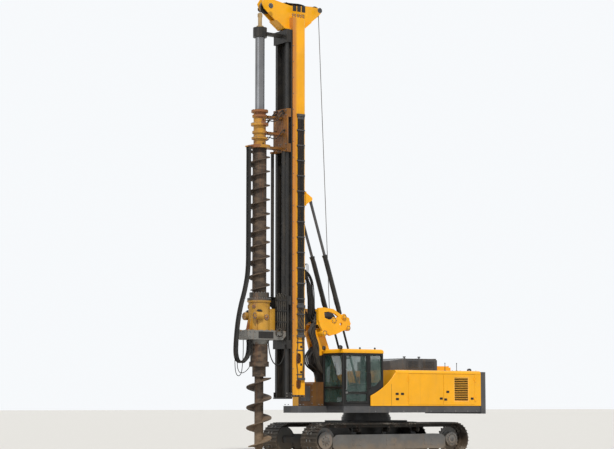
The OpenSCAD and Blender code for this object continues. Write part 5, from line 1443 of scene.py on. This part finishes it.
def make_sky(strength):
    """Light from all round at a plain strength, and a pale backdrop to the camera, to gloss and to glass."""
    world = bpy.data.worlds.new("soft_sky")
    tree = new_tree(world)
    path = node(tree, "LightPath").outputs
    mirrored = math_node(tree, "MAXIMUM", path["Is Glossy Ray"], path["Is Transmission Ray"])
    seen = math_node(tree, "MAXIMUM", path["Is Camera Ray"], mirrored)
    power = math_node(tree, "ADD", math_node(tree, "MULTIPLY", seen, 1.0 - strength), strength)
    colour = mixed(tree, seen, (0.86, 0.93, 1.0, 1.0), (0.93, 0.95, 0.97, 1.0))
    to_surface(tree, node(tree, "Background", {"Color": colour, "Strength": power}))
    return world


def add_camera(lens):
    """The camera: it looks level but for its rise, and straight back across the machine but for its turn."""
    data = bpy.data.cameras.new("camera")
    data.sensor_fit, data.sensor_width, data.lens, data.clip_end = "HORIZONTAL", 36.0, lens, 2000
    camera = bpy.data.objects.new("camera", data)
    bpy.context.scene.collection.objects.link(camera)
    turn, rise = math.radians(CAMERA_TURN), math.radians(CAMERA_RISE)
    look = np.array([-math.sin(turn) * math.cos(rise), -math.cos(turn) * math.cos(rise), math.sin(rise)])
    place = at(*CAMERA_PLACE)
    aim(camera, place, place + 10 * look)
    return camera


class RIG_OT_stage(bpy.types.Operator):
    """Puts up the pale floor, the soft lights and the camera at the photograph's place"""
    bl_idname = "rig.stage"
    bl_label = "Floor, lights and camera"

    def execute(self, context):
        scene = context.scene
        stage = scene.rig_stage
        add_floor(stage.floor_colour)
        scene.world = make_sky(stage.sky)
        # The sun stands high behind the camera's right shoulder, and the fill low in front of the machine
        add_sun("sun", (9.0, 16.0, 24.0), (0.0, 0.0, 2.0), stage.sun, 6, (1.0, 0.965, 0.90))
        add_sun("fill", (26.0, 6.0, 9.0), (0.0, 0.0, 4.0), stage.fill, 40, (0.93, 0.96, 1.0))
        scene.camera = add_camera(stage.lens)
        scene.view_settings.view_transform = "Standard"
        return {"FINISHED"}


# Settings, the panel, and the run


def radius_setting(name, what, default):
    """A radius in metres that the panel shows."""
    return bpy.props.FloatProperty(name=name, description=what, default=default, min=0.002, max=0.1,
                                   unit="LENGTH")


def colour_setting(name, what, default):
    """A colour that the panel shows."""
    return bpy.props.FloatVectorProperty(name=name, description=what, default=default, min=0.0, max=1.0, size=3,
                                         subtype="COLOR")


def paint_setting(name, what, key):
    """The colour of a finish, by default the one in the table of finishes."""
    return colour_setting(name, what, PAINTS[key]["colour"])


def strength_setting(name, what, default):
    """A light's strength that the panel shows."""
    return bpy.props.FloatProperty(name=name, description=what, default=default, min=0.0)


class RIG_PG_sizes(bpy.types.PropertyGroup):
    """Radii of the hoses and of the rope"""
    mast_hose: radius_setting("Mast hose", "Radius of the hoses along the mast", 0.0205)
    head_hose: radius_setting("Head hose", "Radius of the hoses in front of the rotary head", 0.026)
    boom_hose: radius_setting("Boom hose", "Radius of the hoses on the boom", 0.0245)
    loom_hose: radius_setting("Loom hose", "Radius of the free hoses behind the mast", 0.016)
    rope: radius_setting("Rope", "Radius of the hoist rope", 0.011)


class RIG_PG_colours(bpy.types.PropertyGroup):
    """Main colours of the finishes"""
    yellow_paint: paint_setting("Yellow", "House, boom head, yoke and mast head", "yellow_paint")
    mast_yellow: paint_setting("Mast yellow", "The mast's box", "mast_yellow")
    drive_body: paint_setting("Drive", "The rotary head's yellow", "drive_body")
    grey_paint: paint_setting("Grey", "Deck, counterweight and hood box", "grey_paint")
    black_paint: paint_setting("Black", "Boom, sledges and rails", "black_paint")


class RIG_PG_stage(bpy.types.PropertyGroup):
    """Lens, lights and floor"""
    lens: bpy.props.FloatProperty(name="Lens", description="Focal length of the camera", default=100.12,
                                  min=20.0, max=400.0, unit="CAMERA")
    sun: strength_setting("Sun", "Strength of the main light", 3.0)
    fill: strength_setting("Fill", "Strength of the light on the shadow side", 0.5)
    sky: strength_setting("Sky", "Strength of the light from all round", 0.55)
    floor_colour: colour_setting("Floor", "Colour of the floor", (0.62, 0.60, 0.57))


SETTINGS = {"rig_sizes": RIG_PG_sizes, "rig_colours": RIG_PG_colours, "rig_stage": RIG_PG_stage}
PIECES = [
    RIG_OT_finishes,
    RIG_OT_mast_hoses,
    RIG_OT_head_hoses,
    RIG_OT_sledge_hoses,
    RIG_OT_loom,
    RIG_OT_mast_trim,
    RIG_OT_mast_head_trim,
    RIG_OT_head_trim,
    RIG_OT_swivel_trim,
    RIG_OT_arm_trim,
    RIG_OT_track_parts,
    RIG_OT_side_frame_trim,
    RIG_OT_boom_hoses,
    RIG_OT_hoist_rope,
    RIG_OT_house_latches,
    RIG_OT_house_seams,
    RIG_OT_hood_box_trim,
    RIG_OT_deck_trim,
    RIG_OT_cab_trim,
    RIG_OT_cab_door_trim,
    RIG_OT_cab_inside,
    RIG_OT_stage,
]


class RIG_PT_pieces(bpy.types.Panel):
    """Lists the pieces and the settings"""
    bl_idname = "RIG_PT_pieces"
    bl_label = "Piling rig"
    bl_space_type = "VIEW_3D"
    bl_region_type = "UI"
    bl_category = "Piling rig"

    def draw(self, context):
        column = self.layout.column()
        for made in PIECES:
            column.operator(made.bl_idname)
        for name, group in SETTINGS.items():
            for key in group.__annotations__:
                column.prop(getattr(context.scene, name), key)


CLASSES = [*SETTINGS.values(), *PIECES, RIG_PT_pieces]


def register():
    """Registers the classes, and gives the scene its settings."""
    for made in CLASSES:
        bpy.utils.register_class(made)
    for name, group in SETTINGS.items():
        setattr(bpy.types.Scene, name, bpy.props.PointerProperty(type=group))


def unregister():
    """Takes back what register did, in the opposite order."""
    for name in SETTINGS:
        delattr(bpy.types.Scene, name)
    for made in reversed(CLASSES):
        bpy.utils.unregister_class(made)


def main():
    """Makes every piece in order."""
    register()
    for made in PIECES:
        group, action = made.bl_idname.split(".")
        getattr(getattr(bpy.ops, group), action)()


if __name__ == "__main__":
    main()
